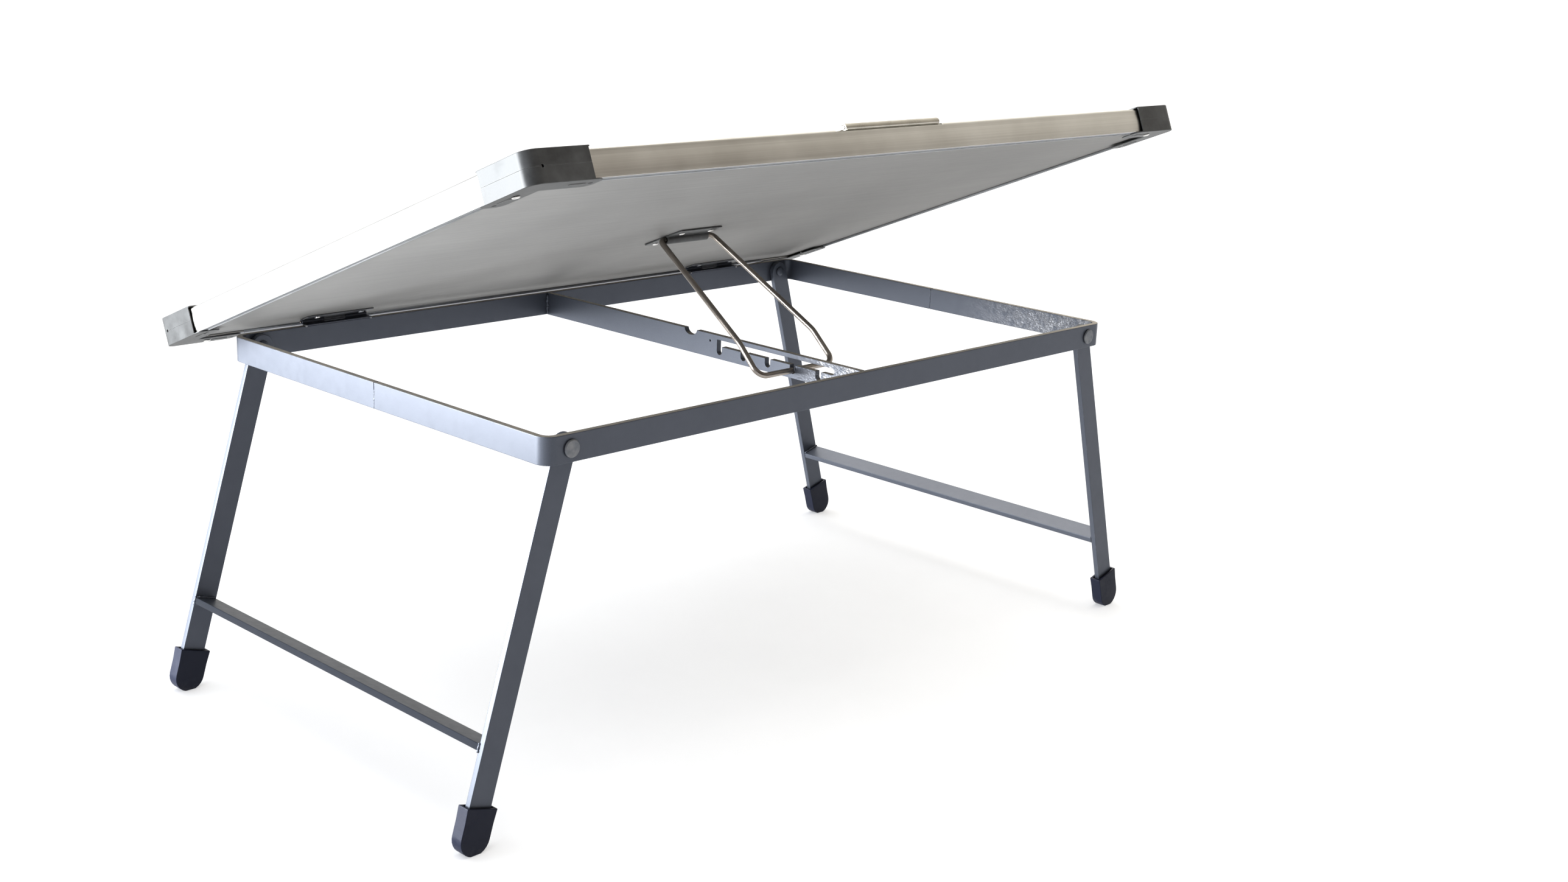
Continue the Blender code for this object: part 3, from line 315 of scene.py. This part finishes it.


# The third rail colour darkens the rails' down-facing faces and starts the hems' range: painted shade.
RAIL_DARK, RAIL_LIGHT, RAIL_UNDERSIDE_SHADE = (0.62, 0.61, 0.58), (0.80, 0.79, 0.76), (0.37, 0.38, 0.395)
PAINT = paint("silver_paint")
# The frame's paints have lightened top faces: partly dust, partly a painted highlight.
PAINT_FRONT = paint("silver_paint_front", dust_and_highlight=True)
PAINT_REAR = paint("silver_paint_rear", rear_frame_blister, dust_and_highlight=True)
PAINT_CENTRE = paint("silver_paint_centre", centre_bar_blister, dust_and_highlight=True)
RAIL_LONG = metal("drawn_aluminium_long", RAIL_DARK, RAIL_LIGHT, (0.26, 0.40), 9.0,
                  streak=(2.5, 900.0, 900.0), streak_share=0.35, dull_and_shaded=RAIL_UNDERSIDE_SHADE)
RAIL_SHORT = metal("drawn_aluminium_short", RAIL_DARK, RAIL_LIGHT, (0.26, 0.40), 9.0,
                   streak=(900.0, 2.5, 900.0), streak_share=0.35, dull_and_shaded=RAIL_UNDERSIDE_SHADE)
# The hems take the darkened underside colour at their dark end: painted shade on the lip's fold.
HEM = metal("folded_hem", RAIL_UNDERSIDE_SHADE, (0.47, 0.48, 0.495), (0.42, 0.56), 30.0, metallic=0.35, specular=0.3)
SHEET = metal("backing_steel", (0.218, 0.215, 0.210), (0.285, 0.280, 0.273), (0.50, 0.62), 6.0,
              streak=(9.0, 420.0, 420.0), streak_share=0.45, metallic=0.15, specular=0.2)
ZINC = metal("zinc_sheet", (0.120, 0.122, 0.123), (0.175, 0.179, 0.181), (0.38, 0.52), 42.0, wave=1.0,
             metallic=0.5, specular=0.25, edge=(0.36, 0.365, 0.365))
CLIP = metal("clip_steel", (0.48, 0.46, 0.42), (0.66, 0.64, 0.58), (0.24, 0.38), 60.0,
             streak=(4.0, 700.0, 700.0))
NICKEL = metal("nickel_wire", (0.33, 0.30, 0.275), (0.43, 0.395, 0.36), (0.24, 0.34), 30.0)
DOME = metal("rivet_steel", (0.62, 0.61, 0.59), (0.84, 0.83, 0.81), (0.20, 0.34), 300.0, wave=0.4,
             metallic=0.75)
PAINTED_RIVET = metal("painted_rivet", (0.17, 0.18, 0.20), (0.27, 0.275, 0.285), (0.32, 0.46), 160.0,
                      wave=0.6, metallic=0.5, edge=BARE_STEEL)
BLACKED = metal("blackened_hinge", (0.150, 0.158, 0.176), (0.235, 0.242, 0.260), (0.36, 0.50), 120.0,
                metallic=0.5, edge=(0.45, 0.45, 0.44))
WELD = metal("weld_metal", (0.20, 0.205, 0.215), (0.50, 0.50, 0.50), (0.30, 0.46), 350.0, wave=0.8,
             metallic=0.6)
RUBBER = rubber("foot_rubber")
LAMINATE = laminate("white_laminate")
FIBRE = fibre("pressed_core")


def material_for(node):
    if node == "frame_half_front":
        return PAINT_FRONT
    if node == "frame_half_rear":
        return PAINT_REAR
    if node == "centre_bar":
        return PAINT_CENTRE
    if node in ("rail_front", "rail_rear"):
        return RAIL_LONG
    if node in ("rail_left", "rail_right"):
        return RAIL_SHORT
    if node.startswith("hinge_board_leaf"):
        return BLACKED
    if node.startswith("hinge_frame_leaf") or (node.startswith("leg_rivet") and node.endswith("front")):
        return PAINT
    if node.startswith("leg_rivet") or (node.startswith("hinge_rivet") and node != "hinge_rivet_right_outer"):
        return PAINTED_RIVET
    if node in ("prop_wire", "clip_spring", "clip_pin") or node.startswith("hinge_pin"):
        return NICKEL
    if "rivet" in node:
        return DOME
    if node in ("clip_base", "clip_jaw"):
        return CLIP
    if node.startswith("corner_cap") or node == "prop_bracket":
        return ZINC
    by_slot = {"silver_paint": PAINT, "galvanised": SHEET, "rubber": RUBBER,
               "writing_surface": LAMINATE, "core": FIBRE}
    return by_slot[SLOT_OF[node]]


# ------------------------------------------------------------------ pieces
def mesh_of(work, name, material):
    """Ends a bmesh and gives it as a mesh with one material."""
    mesh = bpy.data.meshes.new(name)
    work.to_mesh(mesh)
    work.free()
    mesh.materials.append(material)
    return mesh


def new_piece(name, data, body):
    piece = bpy.data.objects.new(name, data)
    bpy.context.scene.collection.objects.link(piece)
    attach(piece, body)
    return piece


def stand_for(node, data):
    """A piece that is seen in place of a CAD node."""
    piece = new_piece(node + "_surface", data, BODY_OF[node])
    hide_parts(node)
    return piece


# ------------------------------------------------------------------ finishing the CAD nodes
SAME_PLACE = 0.002 * MM
FLAT = math.radians(0.6)        # facets that meet at less than this are one flat face
SHARP = math.radians(32.0)      # edges that bend more than this are rounded


def clean_copy(node):
    """A node's shape as a new mesh, with its flat facets merged into whole faces."""
    work = bmesh.new()
    work.from_mesh(frame["nodes"][node].data)
    bmesh.ops.remove_doubles(work, verts=work.verts, dist=SAME_PLACE)
    bmesh.ops.dissolve_limit(work, angle_limit=FLAT, verts=work.verts, edges=work.edges)
    for face in work.faces:
        face.smooth = True
    mesh = bpy.data.meshes.new(node + "_surface")
    work.to_mesh(mesh)
    work.free()
    for layer in ("custom_normal", "sharp_edge"):
        if layer in mesh.attributes:
            mesh.attributes.remove(mesh.attributes[layer])
    mesh.materials.clear()
    mesh.materials.append(material_for(node))
    return mesh


def round_edges(piece, width, segments, method):
    """Rounds a piece's edges, and shades its flat faces as flat."""
    bevel = piece.modifiers.new("edges", "BEVEL")
    bevel.width = width
    bevel.segments = segments
    bevel.limit_method = method
    bevel.use_clamp_overlap = False
    even = piece.modifiers.new("shading", "WEIGHTED_NORMAL")
    even.keep_sharp = False
    even.weight = 100
    return bevel


def rounded(node, width):
    """The node with every sharp edge rounded over."""
    bevel = round_edges(stand_for(node, clean_copy(node)), width, 2, "ANGLE")
    bevel.angle_limit = SHARP
    bevel.miter_outer = "MITER_ARC"


CAP_SOFT, CAP_CRISP, CAP_SEAM = 0.42 * MM, 0.14 * MM, 0.08 * MM     # widths of a cap's rounded edges
CAP_LEVEL = 0.05 * MM           # an edge this near a cap's outside lies in it
CAP_WALL = 0.6 * MM             # a face taller than this is a wall
SEAM_REACH = 0.3 * MM           # the free edges that meet at the seam lie this near its middle
SEAM_CLOSING = 0.65             # how far they are brought together


def pressed_cap(node):
    """A cap half: its outer edges are pressed round and soft, its free edges and its seam are crisp."""
    mesh = clean_copy(node)
    work = bmesh.new()
    work.from_mesh(mesh)
    work.transform(BOARD_BACK)
    outer = RAIL_TOP_N + CAP_OUT if "_top_" in node else RAIL_N - CAP_OUT
    weight = work.edges.layers.float.new("bevel_weight_edge")
    for edge in work.edges:
        if len(edge.link_faces) != 2 or abs(edge.calc_face_angle()) < SHARP:
            continue
        heights = [v.co.z for v in edge.verts]
        levels = [[v.co.z for v in face.verts] for face in edge.link_faces]
        tall = max(max(level) - min(level) for level in levels)
        width = CAP_CRISP
        if all(abs(n - outer) < CAP_LEVEL for n in heights) and tall > CAP_WALL:
            width = CAP_SOFT
        elif all(abs(n - SEAM_N) < SEAM_REACH for n in heights):
            width = CAP_SEAM
        edge[weight] = width / CAP_SOFT
    for v in work.verts:
        if abs(v.co.z - SEAM_N) < SEAM_REACH:
            v.co.z += (SEAM_N - v.co.z) * SEAM_CLOSING
    work.transform(BOARD)
    work.to_mesh(mesh)
    work.free()
    round_edges(stand_for(node, mesh), CAP_SOFT, 3, "WEIGHT")


BEND_STEPS = 14


def rounded_path(corners):
    """A path through (point, bend radius) pairs, each bend laid in as an arc."""
    path = []
    for i, (place, radius) in enumerate(corners):
        place = Vector(place)
        if radius == 0:
            path.append(place)
            continue
        back = (Vector(corners[i - 1][0]) - place).normalized()
        ahead = (Vector(corners[i + 1][0]) - place).normalized()
        half = back.angle(ahead) / 2
        run = radius / math.tan(half)
        middle = place + (back + ahead).normalized() * (radius / math.sin(half))
        first = place + back * run - middle
        last = place + ahead * run - middle
        sweep = first.angle(last)
        for k in range(BEND_STEPS + 1):
            t = k / BEND_STEPS
            path.append(middle + (first * math.sin((1 - t) * sweep)
                                  + last * math.sin(t * sweep)) / math.sin(sweep))
    return path


def drawn_wire(node, path, radius, place, sides=5):
    """A round wire that stands for a node."""
    curve = bpy.data.curves.new(node + "_surface", "CURVE")
    curve.dimensions = "3D"
    curve.bevel_depth = radius
    curve.bevel_resolution = sides
    curve.use_fill_caps = True
    spline = curve.splines.new("POLY")
    spline.points.add(len(path) - 1)
    for point, spot in zip(spline.points, path):
        point.co = (*(place @ spot), 1)
    curve.materials.append(material_for(node))
    stand_for(node, curve)


PROP_RADIUS = 2.4 * MM
PROP_SHIFT = -3 * MM            # the bail's middle, off the easel's middle
PROP_FOOT = Vector((0, FRAME_Y + 118 * MM, FRAME_TOP - 13.3 * MM))
PROP_END = 2.9 * MM             # half the gap in the foot, inside the centre bar
PROP_KINK = 0.794               # how far along the sides they kink
PROP_KINK_OUT = 6 * MM
FOOT_SIDE, KINK_SIDE, ROD_SIDE = 44 * MM, 43 * MM, 30 * MM      # sides, off the bail's middle
FOOT_BEND, KINK_BEND, ROD_BEND = 9 * MM, 30 * MM, 5.5 * MM


def prop_wire():
    """The wire bail, from its foot in the notch up to the rod and back."""
    rod = Vector(JOINTS["prop_swing"]["pos_m"])
    reach = PROP_FOOT - rod
    length = reach.length
    place = Matrix.Translation(rod) @ Matrix.Rotation(math.atan2(reach.z, reach.y), 4, "X")
    half = (((PROP_SHIFT + FOOT_SIDE, length, 0), FOOT_BEND),
            ((PROP_SHIFT + KINK_SIDE, length * PROP_KINK, PROP_KINK_OUT), KINK_BEND),
            ((PROP_SHIFT + ROD_SIDE, 0, 0), ROD_BEND))
    other = [((2 * PROP_SHIFT - x, y, z), bend) for (x, y, z), bend in reversed(half)]
    corners = [((PROP_END, length, 0), 0), *half, *other, ((-PROP_END, length, 0), 0)]
    drawn_wire("prop_wire", rounded_path(corners), PROP_RADIUS, place)


COIL, COIL_WIRE, COIL_SPAN, COIL_TURNS, COIL_STEPS = 1.65 * MM, 0.22 * MM, 8 * MM, 5, 24
COIL_ASIDE = 1 * MM             # how far the last half turn runs aside
SPRING_LEG = 5.5 * MM


def clip_spring():
    """The clip's torsion spring, with a leg along the jaw and one along the base."""
    start = -COIL_SPAN / 2
    path = [Vector((start, -SPRING_LEG, 0.9 * MM)), Vector((start, -1.0 * MM, COIL))]
    for i in range(int((COIL_TURNS + 0.5) * COIL_STEPS) + 1):
        a = math.pi / 2 - 2 * math.pi * i / COIL_STEPS
        x = start + COIL_SPAN * min(i / (COIL_TURNS * COIL_STEPS), 1)
        x += max(0, i - COIL_TURNS * COIL_STEPS) * 2 * COIL_ASIDE / COIL_STEPS
        path.append(Vector((x, COIL * math.cos(a), COIL * math.sin(a))))
    path.append(Vector((COIL_SPAN / 2 + COIL_ASIDE, -SPRING_LEG, -COIL)))
    place = Matrix.Translation(JOINTS["clip_open"]["pos_m"]) @ Matrix.Rotation(TILT, 4, "X")
    drawn_wire("clip_spring", path, COIL_WIRE, place, 2)


# Widths of the rounded edges, in mm, by the start of the node's name; the first that fits is used.
EDGE_WIDTHS = (("frame_half", 0.55), ("centre_bar", 0.35), ("leg_rivet", 0.35), ("leg_", 0.55),
               ("stretcher", 0.55), ("foot_", 0.55), ("rail_", 0.30),
               ("backing_sheet", 0.20), ("writing_sheet", 0.15), ("hinge_rivet", 0.30), ("hinge_pin", 0.25),
               ("hinge_", 0.22), ("cap_rivet", 0.30), ("bracket_rivet", 0.30), ("clip_rivet", 0.20),
               ("prop_bracket", 0.30), ("clip_pin", 0.20), ("clip_", 0.20))
WIRE_NODES = ("prop_wire", "clip_spring")
PLAIN_NODES = ("core_board",)


def finish_nodes():
    for node in sorted(frame["nodes"]):
        if node in PLAIN_NODES:
            data = frame["nodes"][node].data
            data.materials.clear()
            data.materials.append(material_for(node))
        elif node.startswith("corner_cap"):
            pressed_cap(node)
        elif node not in WIRE_NODES:
            width = next(size for start, size in EDGE_WIDTHS if node.startswith(start))
            rounded(node, width * MM)


# ------------------------------------------------------------------ set ends of the front leg rivets
TURN_STEPS = 40
RIVET_END = ((0, 0.55), (1.3, 0.52), (2.6, 0.38), (3.5, 0.14), (3.8, -0.10), (3.0, -0.25), (0, -0.25))


def turned_mesh(name, profile, place, material):
    """A closed profile of (radius, height) in mm, turned about its own Z from pole to pole."""
    work = bmesh.new()
    poles = [work.verts.new(place @ Vector((0, 0, profile[i][1] * MM))) for i in (0, -1)]
    rings = []
    for radius, height in profile[1:-1]:
        ring = []
        for i in range(TURN_STEPS):
            a = 2 * math.pi * i / TURN_STEPS
            spot = Vector((radius * MM * math.cos(a), radius * MM * math.sin(a), height * MM))
            ring.append(work.verts.new(place @ spot))
        rings.append(ring)
    for i in range(TURN_STEPS):
        j = (i + 1) % TURN_STEPS
        work.faces.new((poles[0], rings[0][j], rings[0][i]))
        work.faces.new((poles[1], rings[-1][i], rings[-1][j]))
        for a, b in zip(rings, rings[1:]):
            work.faces.new((a[i], a[j], b[j], b[i]))
    for face in work.faces:
        face.smooth = True
    bmesh.ops.recalc_face_normals(work, faces=work.faces)
    return mesh_of(work, name, material)


def rivet_ends():
    """The front rivets are set with a closed, slightly domed end; the rear ones stay hollow."""
    for side, name in ((1, "right"), (-1, "left")):
        end = Vector((side * LEG_PIVOT.x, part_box("leg_rivet_%s_front" % name)[1].y, LEG_PIVOT.z))
        place = Matrix.Translation(end) @ Matrix.Rotation(-math.pi / 2, 4, "X")
        piece = "rivet_end_" + name
        new_piece(piece, turned_mesh(piece, RIVET_END, place, PAINT), "frame")


# ------------------------------------------------------------------ welds
PUDDLE_STEP, PUDDLE_WOBBLE, PUDDLE_VOXEL = 0.7, 0.16, 0.2       # in bead radii
SEAM_BEAD, SEAM_SUNK = 0.85 * MM, 0.62 * MM                     # the frame's butt seams, sunk in the bar
SEAM_LOW, SEAM_TOP_OUTER, SEAM_TOP_INNER = 1.2 * MM, 6.5 * MM, 1.4 * MM
CENTRE_BEAD, CENTRE_SIDE, CENTRE_OUT = 1.5 * MM, 2.9 * MM, 0.9 * MM
CENTRE_LOW, CENTRE_TOP = 2 * MM, 3 * MM
STRETCHER_BEAD, STRETCHER_SIDE_BEAD = 1.35 * MM, 1.2 * MM
STRETCHER_DOWN = 208 * MM                                       # its top face, down the leg from the pivot
STRETCHER_OUT, STRETCHER_ACROSS, STRETCHER_SIDE = 0.3 * MM, 7.5 * MM, 9.4 * MM
HINGE_BEAD = 1.0 * MM


def weld(name, start, end, radius, body, seed, material=PAINT):
    """A lumpy weld bead from start to end: overlapping puddles fused into one skin."""
    rng = random.Random(seed)
    start, end = Vector(start), Vector(end)
    run = end - start
    count = max(2, int(run.length / (radius * PUDDLE_STEP)))
    work = bmesh.new()
    for i in range(count + 1):
        wobble = Vector((rng.uniform(-1, 1), rng.uniform(-1, 1), rng.uniform(-1, 1))) * radius * PUDDLE_WOBBLE
        size = radius * rng.uniform(0.82, 1.10)
        bmesh.ops.create_icosphere(work, subdivisions=2, radius=size,
                                   matrix=Matrix.Translation(start + run * (i / count) + wobble))
    piece = new_piece(name, mesh_of(work, name, material), body)
    fuse = piece.modifiers.new("fuse", "REMESH")
    fuse.mode = "VOXEL"
    fuse.voxel_size = radius * PUDDLE_VOXEL
    fuse.use_smooth_shade = True
    relax = piece.modifiers.new("relax", "SMOOTH")
    relax.factor = 0.5
    relax.iterations = 3


def leg_point(side, y, down, across):
    """A point in a leg frame: down the leg and across it, outwards."""
    c, s = math.cos(LEG_SPLAY), math.sin(LEG_SPLAY)
    x = LEG_PIVOT.x + down * s + across * c
    return Vector((side * x, y, LEG_PIVOT.z - down * c + across * s))


def frame_welds():
    low, high = BAR_LOW, FRAME_TOP
    for side, name in ((1, "right"), (-1, "left")):
        outer = side * (FRAME_HALF_X - SEAM_SUNK)
        inner = side * (FRAME_HALF_X - BAR + SEAM_SUNK)
        weld("weld_seam_outer_" + name, (outer, FRAME_Y, low + SEAM_LOW),
             (outer, FRAME_Y, high - SEAM_TOP_OUTER), SEAM_BEAD, "frame", seed=3 + side)
        weld("weld_seam_inner_" + name, (inner, FRAME_Y, low + SEAM_LOW),
             (inner, FRAME_Y, high - SEAM_TOP_INNER), SEAM_BEAD, "frame", seed=9 + side)
        for end, bar_y, sign in (("rear", FRAME_REAR - BAR, -1), ("front", FRAME_FRONT + BAR, 1)):
            x, y = side * CENTRE_SIDE, bar_y + sign * CENTRE_OUT
            weld("weld_centre_bar_%s_%s" % (end, name), (x, y, low + CENTRE_LOW), (x, y, high - CENTRE_TOP),
                 CENTRE_BEAD, "frame", seed=20 + side)


def stretcher_welds():
    low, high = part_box("stretcher_right")
    top, under = STRETCHER_DOWN, STRETCHER_DOWN + BAR
    for side, name in ((1, "right"), (-1, "left")):
        for end, y, sign in (("rear", high.y, -1), ("front", low.y, 1)):
            edge = y + sign * STRETCHER_OUT
            bead = "weld_stretcher_%s_%s_" % (name, end)
            body = "legs_" + name
            for label, down in (("top", top - STRETCHER_OUT), ("under", under + STRETCHER_OUT)):
                weld(bead + label, leg_point(side, edge, down, -STRETCHER_ACROSS),
                     leg_point(side, edge, down, STRETCHER_ACROSS), STRETCHER_BEAD, body,
                     seed=40 + side + len(label))
            edge -= sign * 0.5 * MM
            weld(bead + "side", leg_point(side, edge, top, STRETCHER_SIDE),
                 leg_point(side, edge, under, STRETCHER_SIDE), STRETCHER_SIDE_BEAD, body, seed=60 + side)


def hinge_welds():
    for side in ("right", "left"):
        low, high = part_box("hinge_frame_leaf_" + side)
        for label, x, run in (("a", low.x, 1), ("b", high.x, -1)):
            weld("weld_hinge_%s_%s" % (side, label), (x, FRAME_FRONT + 2 * MM, FRAME_TOP + 0.5 * MM),
                 (x, FRAME_FRONT + BAR + 1 * MM, FRAME_TOP + 0.3 * MM), HINGE_BEAD, "frame",
                 seed=80 + run, material=WELD)


# ------------------------------------------------------------------ rail hems
HEM_LOW, HEM_HIGH, HEM_THICK = RAIL_N - 0.75 * MM, RAIL_N + 1.45 * MM, 1.3 * MM
HEM_SIDES, HEM_POWER = 16, 0.6      # its section is a rounded oblong: an oval to this power


def hem(name, start, end):
    """The folded inner edge of a rail's under lip: a rounded strip from start to end, in board places."""
    start, end = Vector((*start, 0)), Vector((*end, 0))
    across = (end - start).normalized().cross(Vector((0, 0, 1))) * (HEM_THICK / 2)
    middle, half = (HEM_LOW + HEM_HIGH) / 2, (HEM_HIGH - HEM_LOW) / 2
    turns = [2 * math.pi * i / HEM_SIDES for i in range(HEM_SIDES)]
    section = [[math.copysign(abs(c) ** HEM_POWER, c) for c in (math.cos(a), math.sin(a))] for a in turns]
    work = bmesh.new()
    rings = [[work.verts.new(BOARD @ (spot + across * u + Vector((0, 0, middle + half * w))))
              for u, w in section] for spot in (start, end)]
    for i in range(HEM_SIDES):
        j = (i + 1) % HEM_SIDES
        work.faces.new((rings[0][i], rings[0][j], rings[1][j], rings[1][i])).smooth = True
    work.faces.new(rings[0][::-1])
    work.faces.new(rings[1])
    bmesh.ops.recalc_face_normals(work, faces=work.faces)
    new_piece(name, mesh_of(work, name, HEM), "board")


def rail_hems():
    """Each hem runs between the flanges of the two corner caps beside it."""
    stop = CAP_TAB - CAP_SIDE + 0.5 * MM
    x, low, high = RAIL_HALF_X - stop, RAIL_V[0] + stop, RAIL_V[1] - stop
    front, rear, side = RAIL_V[0] + LIP_FRONT, RAIL_V[1] - LIP, RAIL_HALF_X - LIP
    hem("rail_hem_front", (-x, front), (x, front))
    hem("rail_hem_rear", (-x, rear), (x, rear))
    hem("rail_hem_right", (side, low), (side, high))
    hem("rail_hem_left", (-side, low), (-side, high))


# ------------------------------------------------------------------ camera, floor and light
CAMERA_AT = Vector((1.0787, 1.1222, 0.6136))
CAMERA_YAW = math.radians(-136.97)
CAMERA_PITCH = math.radians(-15.35)
CAMERA_ROLL = math.radians(2.47)
CAMERA_LENS = 43.06
FLOOR_HALF, FLOOR_GAP = 60.0, 0.2 * MM


def add_camera():
    yaw, pitch, roll = CAMERA_YAW, CAMERA_PITCH, CAMERA_ROLL
    ahead = Vector((math.cos(pitch) * math.cos(yaw), math.cos(pitch) * math.sin(yaw), math.sin(pitch)))
    right = ahead.cross(Vector((0, 0, 1))).normalized()
    up = right.cross(ahead)
    right_rolled = right * math.cos(roll) + up * math.sin(roll)
    up_rolled = up * math.cos(roll) - right * math.sin(roll)
    turn = Matrix((right_rolled, up_rolled, -ahead)).transposed().to_4x4()
    data = bpy.data.cameras.new("camera")
    data.lens = CAMERA_LENS
    data.sensor_width = 36.0
    data.clip_start = 0.01
    camera = bpy.data.objects.new("camera", data)
    camera.matrix_world = Matrix.Translation(CAMERA_AT) @ turn
    bpy.context.scene.collection.objects.link(camera)
    bpy.context.scene.camera = camera


def add_floor():
    work = bmesh.new()
    bmesh.ops.create_grid(work, x_segments=1, y_segments=1, size=FLOOR_HALF)
    g = Graph("pale_floor")
    tone = g.mapped(g.noise(g.place(), 3.0, 4.0), 0.3, 0.7)
    g.set(Base_Color=g.blend(tone, (0.87, 0.87, 0.87), (0.91, 0.91, 0.91)), Roughness=0.9,
          Specular_IOR_Level=0.1)
    floor = bpy.data.objects.new("floor", mesh_of(work, "floor", g.material))
    floor.location.z = cad_low.z - FLOOR_GAP
    bpy.context.scene.collection.objects.link(floor)
    return floor


ROOM_AIR, WALL_AIR = (0.150, 0.130, 0.115), (0.76, 0.73, 0.67)
CEILING_AIR, WINDOW_AIR = (0.60, 0.58, 0.54), (0.66, 0.70, 0.76)
BACKDROP = (0.93, 0.93, 0.93)
WALL_WAY, CEILING_WAY, WINDOW_WAY = (-0.93, -0.32, 0.25), (0.0, -0.1, 1.0), (0.80, -0.55, 0.22)


def add_world():
    """Studio air: cool and bright from the window, dim from the room, with a lit wall facing the window."""
    world = bpy.data.worlds.new("studio")
    world.use_nodes = True
    tree = world.node_tree
    way = tree.nodes.new("ShaderNodeTexCoord").outputs["Generated"]

    def towards(direction, low, high):
        side = tree.nodes.new("ShaderNodeVectorMath")
        side.operation = "DOT_PRODUCT"
        side.inputs[1].default_value = Vector(direction).normalized()
        tree.links.new(way, side.inputs[0])
        span = tree.nodes.new("ShaderNodeMapRange")
        span.interpolation_type = "SMOOTHSTEP"
        span.inputs["From Min"].default_value = low
        span.inputs["From Max"].default_value = high
        tree.links.new(side.outputs["Value"], span.inputs["Value"])
        return span.outputs[0]

    def mixed(factor, base, colour):
        mix = tree.nodes.new("ShaderNodeMix")
        mix.data_type = "RGBA"
        tree.links.new(factor, mix.inputs[0])
        if isinstance(base, bpy.types.NodeSocket):
            tree.links.new(base, mix.inputs[6])
        else:
            mix.inputs[6].default_value = (*base, 1.0)
        mix.inputs[7].default_value = (*colour, 1.0)
        return mix.outputs[2]

    air = mixed(towards(WALL_WAY, 0.30, 0.95), ROOM_AIR, WALL_AIR)
    air = mixed(towards(CEILING_WAY, 0.35, 1.0), air, CEILING_AIR)
    air = mixed(towards(WINDOW_WAY, -0.20, 0.95), air, WINDOW_AIR)
    seen = tree.nodes.new("ShaderNodeLightPath").outputs["Is Camera Ray"]
    tree.links.new(mixed(seen, air, BACKDROP), tree.nodes["Background"].inputs["Color"])
    bpy.context.scene.world = world


def add_lamp(name, kind, energy, place, target, colour, size):
    """A sun, with its angle in degrees as size, or an area lamp, with its width and height."""
    lamp = bpy.data.lights.new(name, kind)
    lamp.energy = energy
    lamp.color = colour
    if kind == "SUN":
        lamp.angle = math.radians(size)
    else:
        lamp.shape = "RECTANGLE"
        lamp.size, lamp.size_y = size
    obj = bpy.data.objects.new(name, lamp)
    obj.location = Vector(place)
    obj.rotation_euler = (Vector(target) - obj.location).to_track_quat("-Z", "Y").to_euler()
    bpy.context.scene.collection.objects.link(obj)
    return obj


def link_light(lamp, things, state):
    """Limits a lamp to a few things, or keeps it off them."""
    group = bpy.data.collections.new(lamp.name + "_receivers")
    for thing in things:
        group.objects.link(thing)
    for member in group.collection_objects:
        member.light_linking.link_state = state
    lamp.light_linking.receiver_collection = group


KEY_AT, KEY_TARGET, KEY_SIZE = (1.16, -0.52, 0.36), (0.2, 0.0, 0.25), (0.7, 0.5)
MIDDLE = (0.0, 0.0, 0.25)
UNDER_LIT = ("backing_sheet", "bracket_rivet", "hinge_rivet")


def add_light(floor):
    add_world()
    key = add_lamp("key", "AREA", energy=27.0, place=KEY_AT, target=KEY_TARGET, colour=(0.97, 0.985, 1.0),
                   size=KEY_SIZE)
    surfaces = [thing for thing in bpy.data.objects if thing.name not in frame["nodes"]]
    caps = [thing for thing in surfaces if thing.name.startswith("corner_cap")]
    shaded = bpy.data.objects["stretcher_right_surface"]
    link_light(key, [floor, shaded, *caps], "EXCLUDE")
    soft_key = add_lamp("key_caps", "AREA", energy=15.0, place=KEY_AT, target=KEY_TARGET,
                        colour=(0.96, 0.98, 1.0), size=KEY_SIZE)
    link_light(soft_key, caps, "INCLUDE")
    top = add_lamp("top", "SUN", energy=1.7, place=(-0.5, -0.8, 2.4), target=MIDDLE, colour=(1.0, 0.96, 0.90),
                   size=50)
    link_light(top, [floor, shaded], "EXCLUDE")
    under = add_lamp("under", "AREA", energy=24.0, place=(0.95, 0.1, 0.05), target=(0.1, 0.0, 0.36),
                     colour=(0.92, 0.96, 1.0), size=(0.25, 1.0))
    link_light(under, [thing for thing in surfaces if thing.name.startswith(UNDER_LIT)], "INCLUDE")
    wash = add_lamp("wash", "SUN", energy=1.45, place=(0.3, -0.4, 2.0), target=MIDDLE, colour=(1.0, 1.0, 1.0),
                    size=60)
    wash.data.use_shadow = False
    link_light(wash, [floor], "INCLUDE")
    bpy.context.scene.view_settings.view_transform = "Standard"
    bpy.context.scene.view_settings.look = "High Contrast"


finish_nodes()
prop_wire()
clip_spring()
rivet_ends()
frame_welds()
stretcher_welds()
hinge_welds()
rail_hems()
add_camera()
add_light(add_floor())
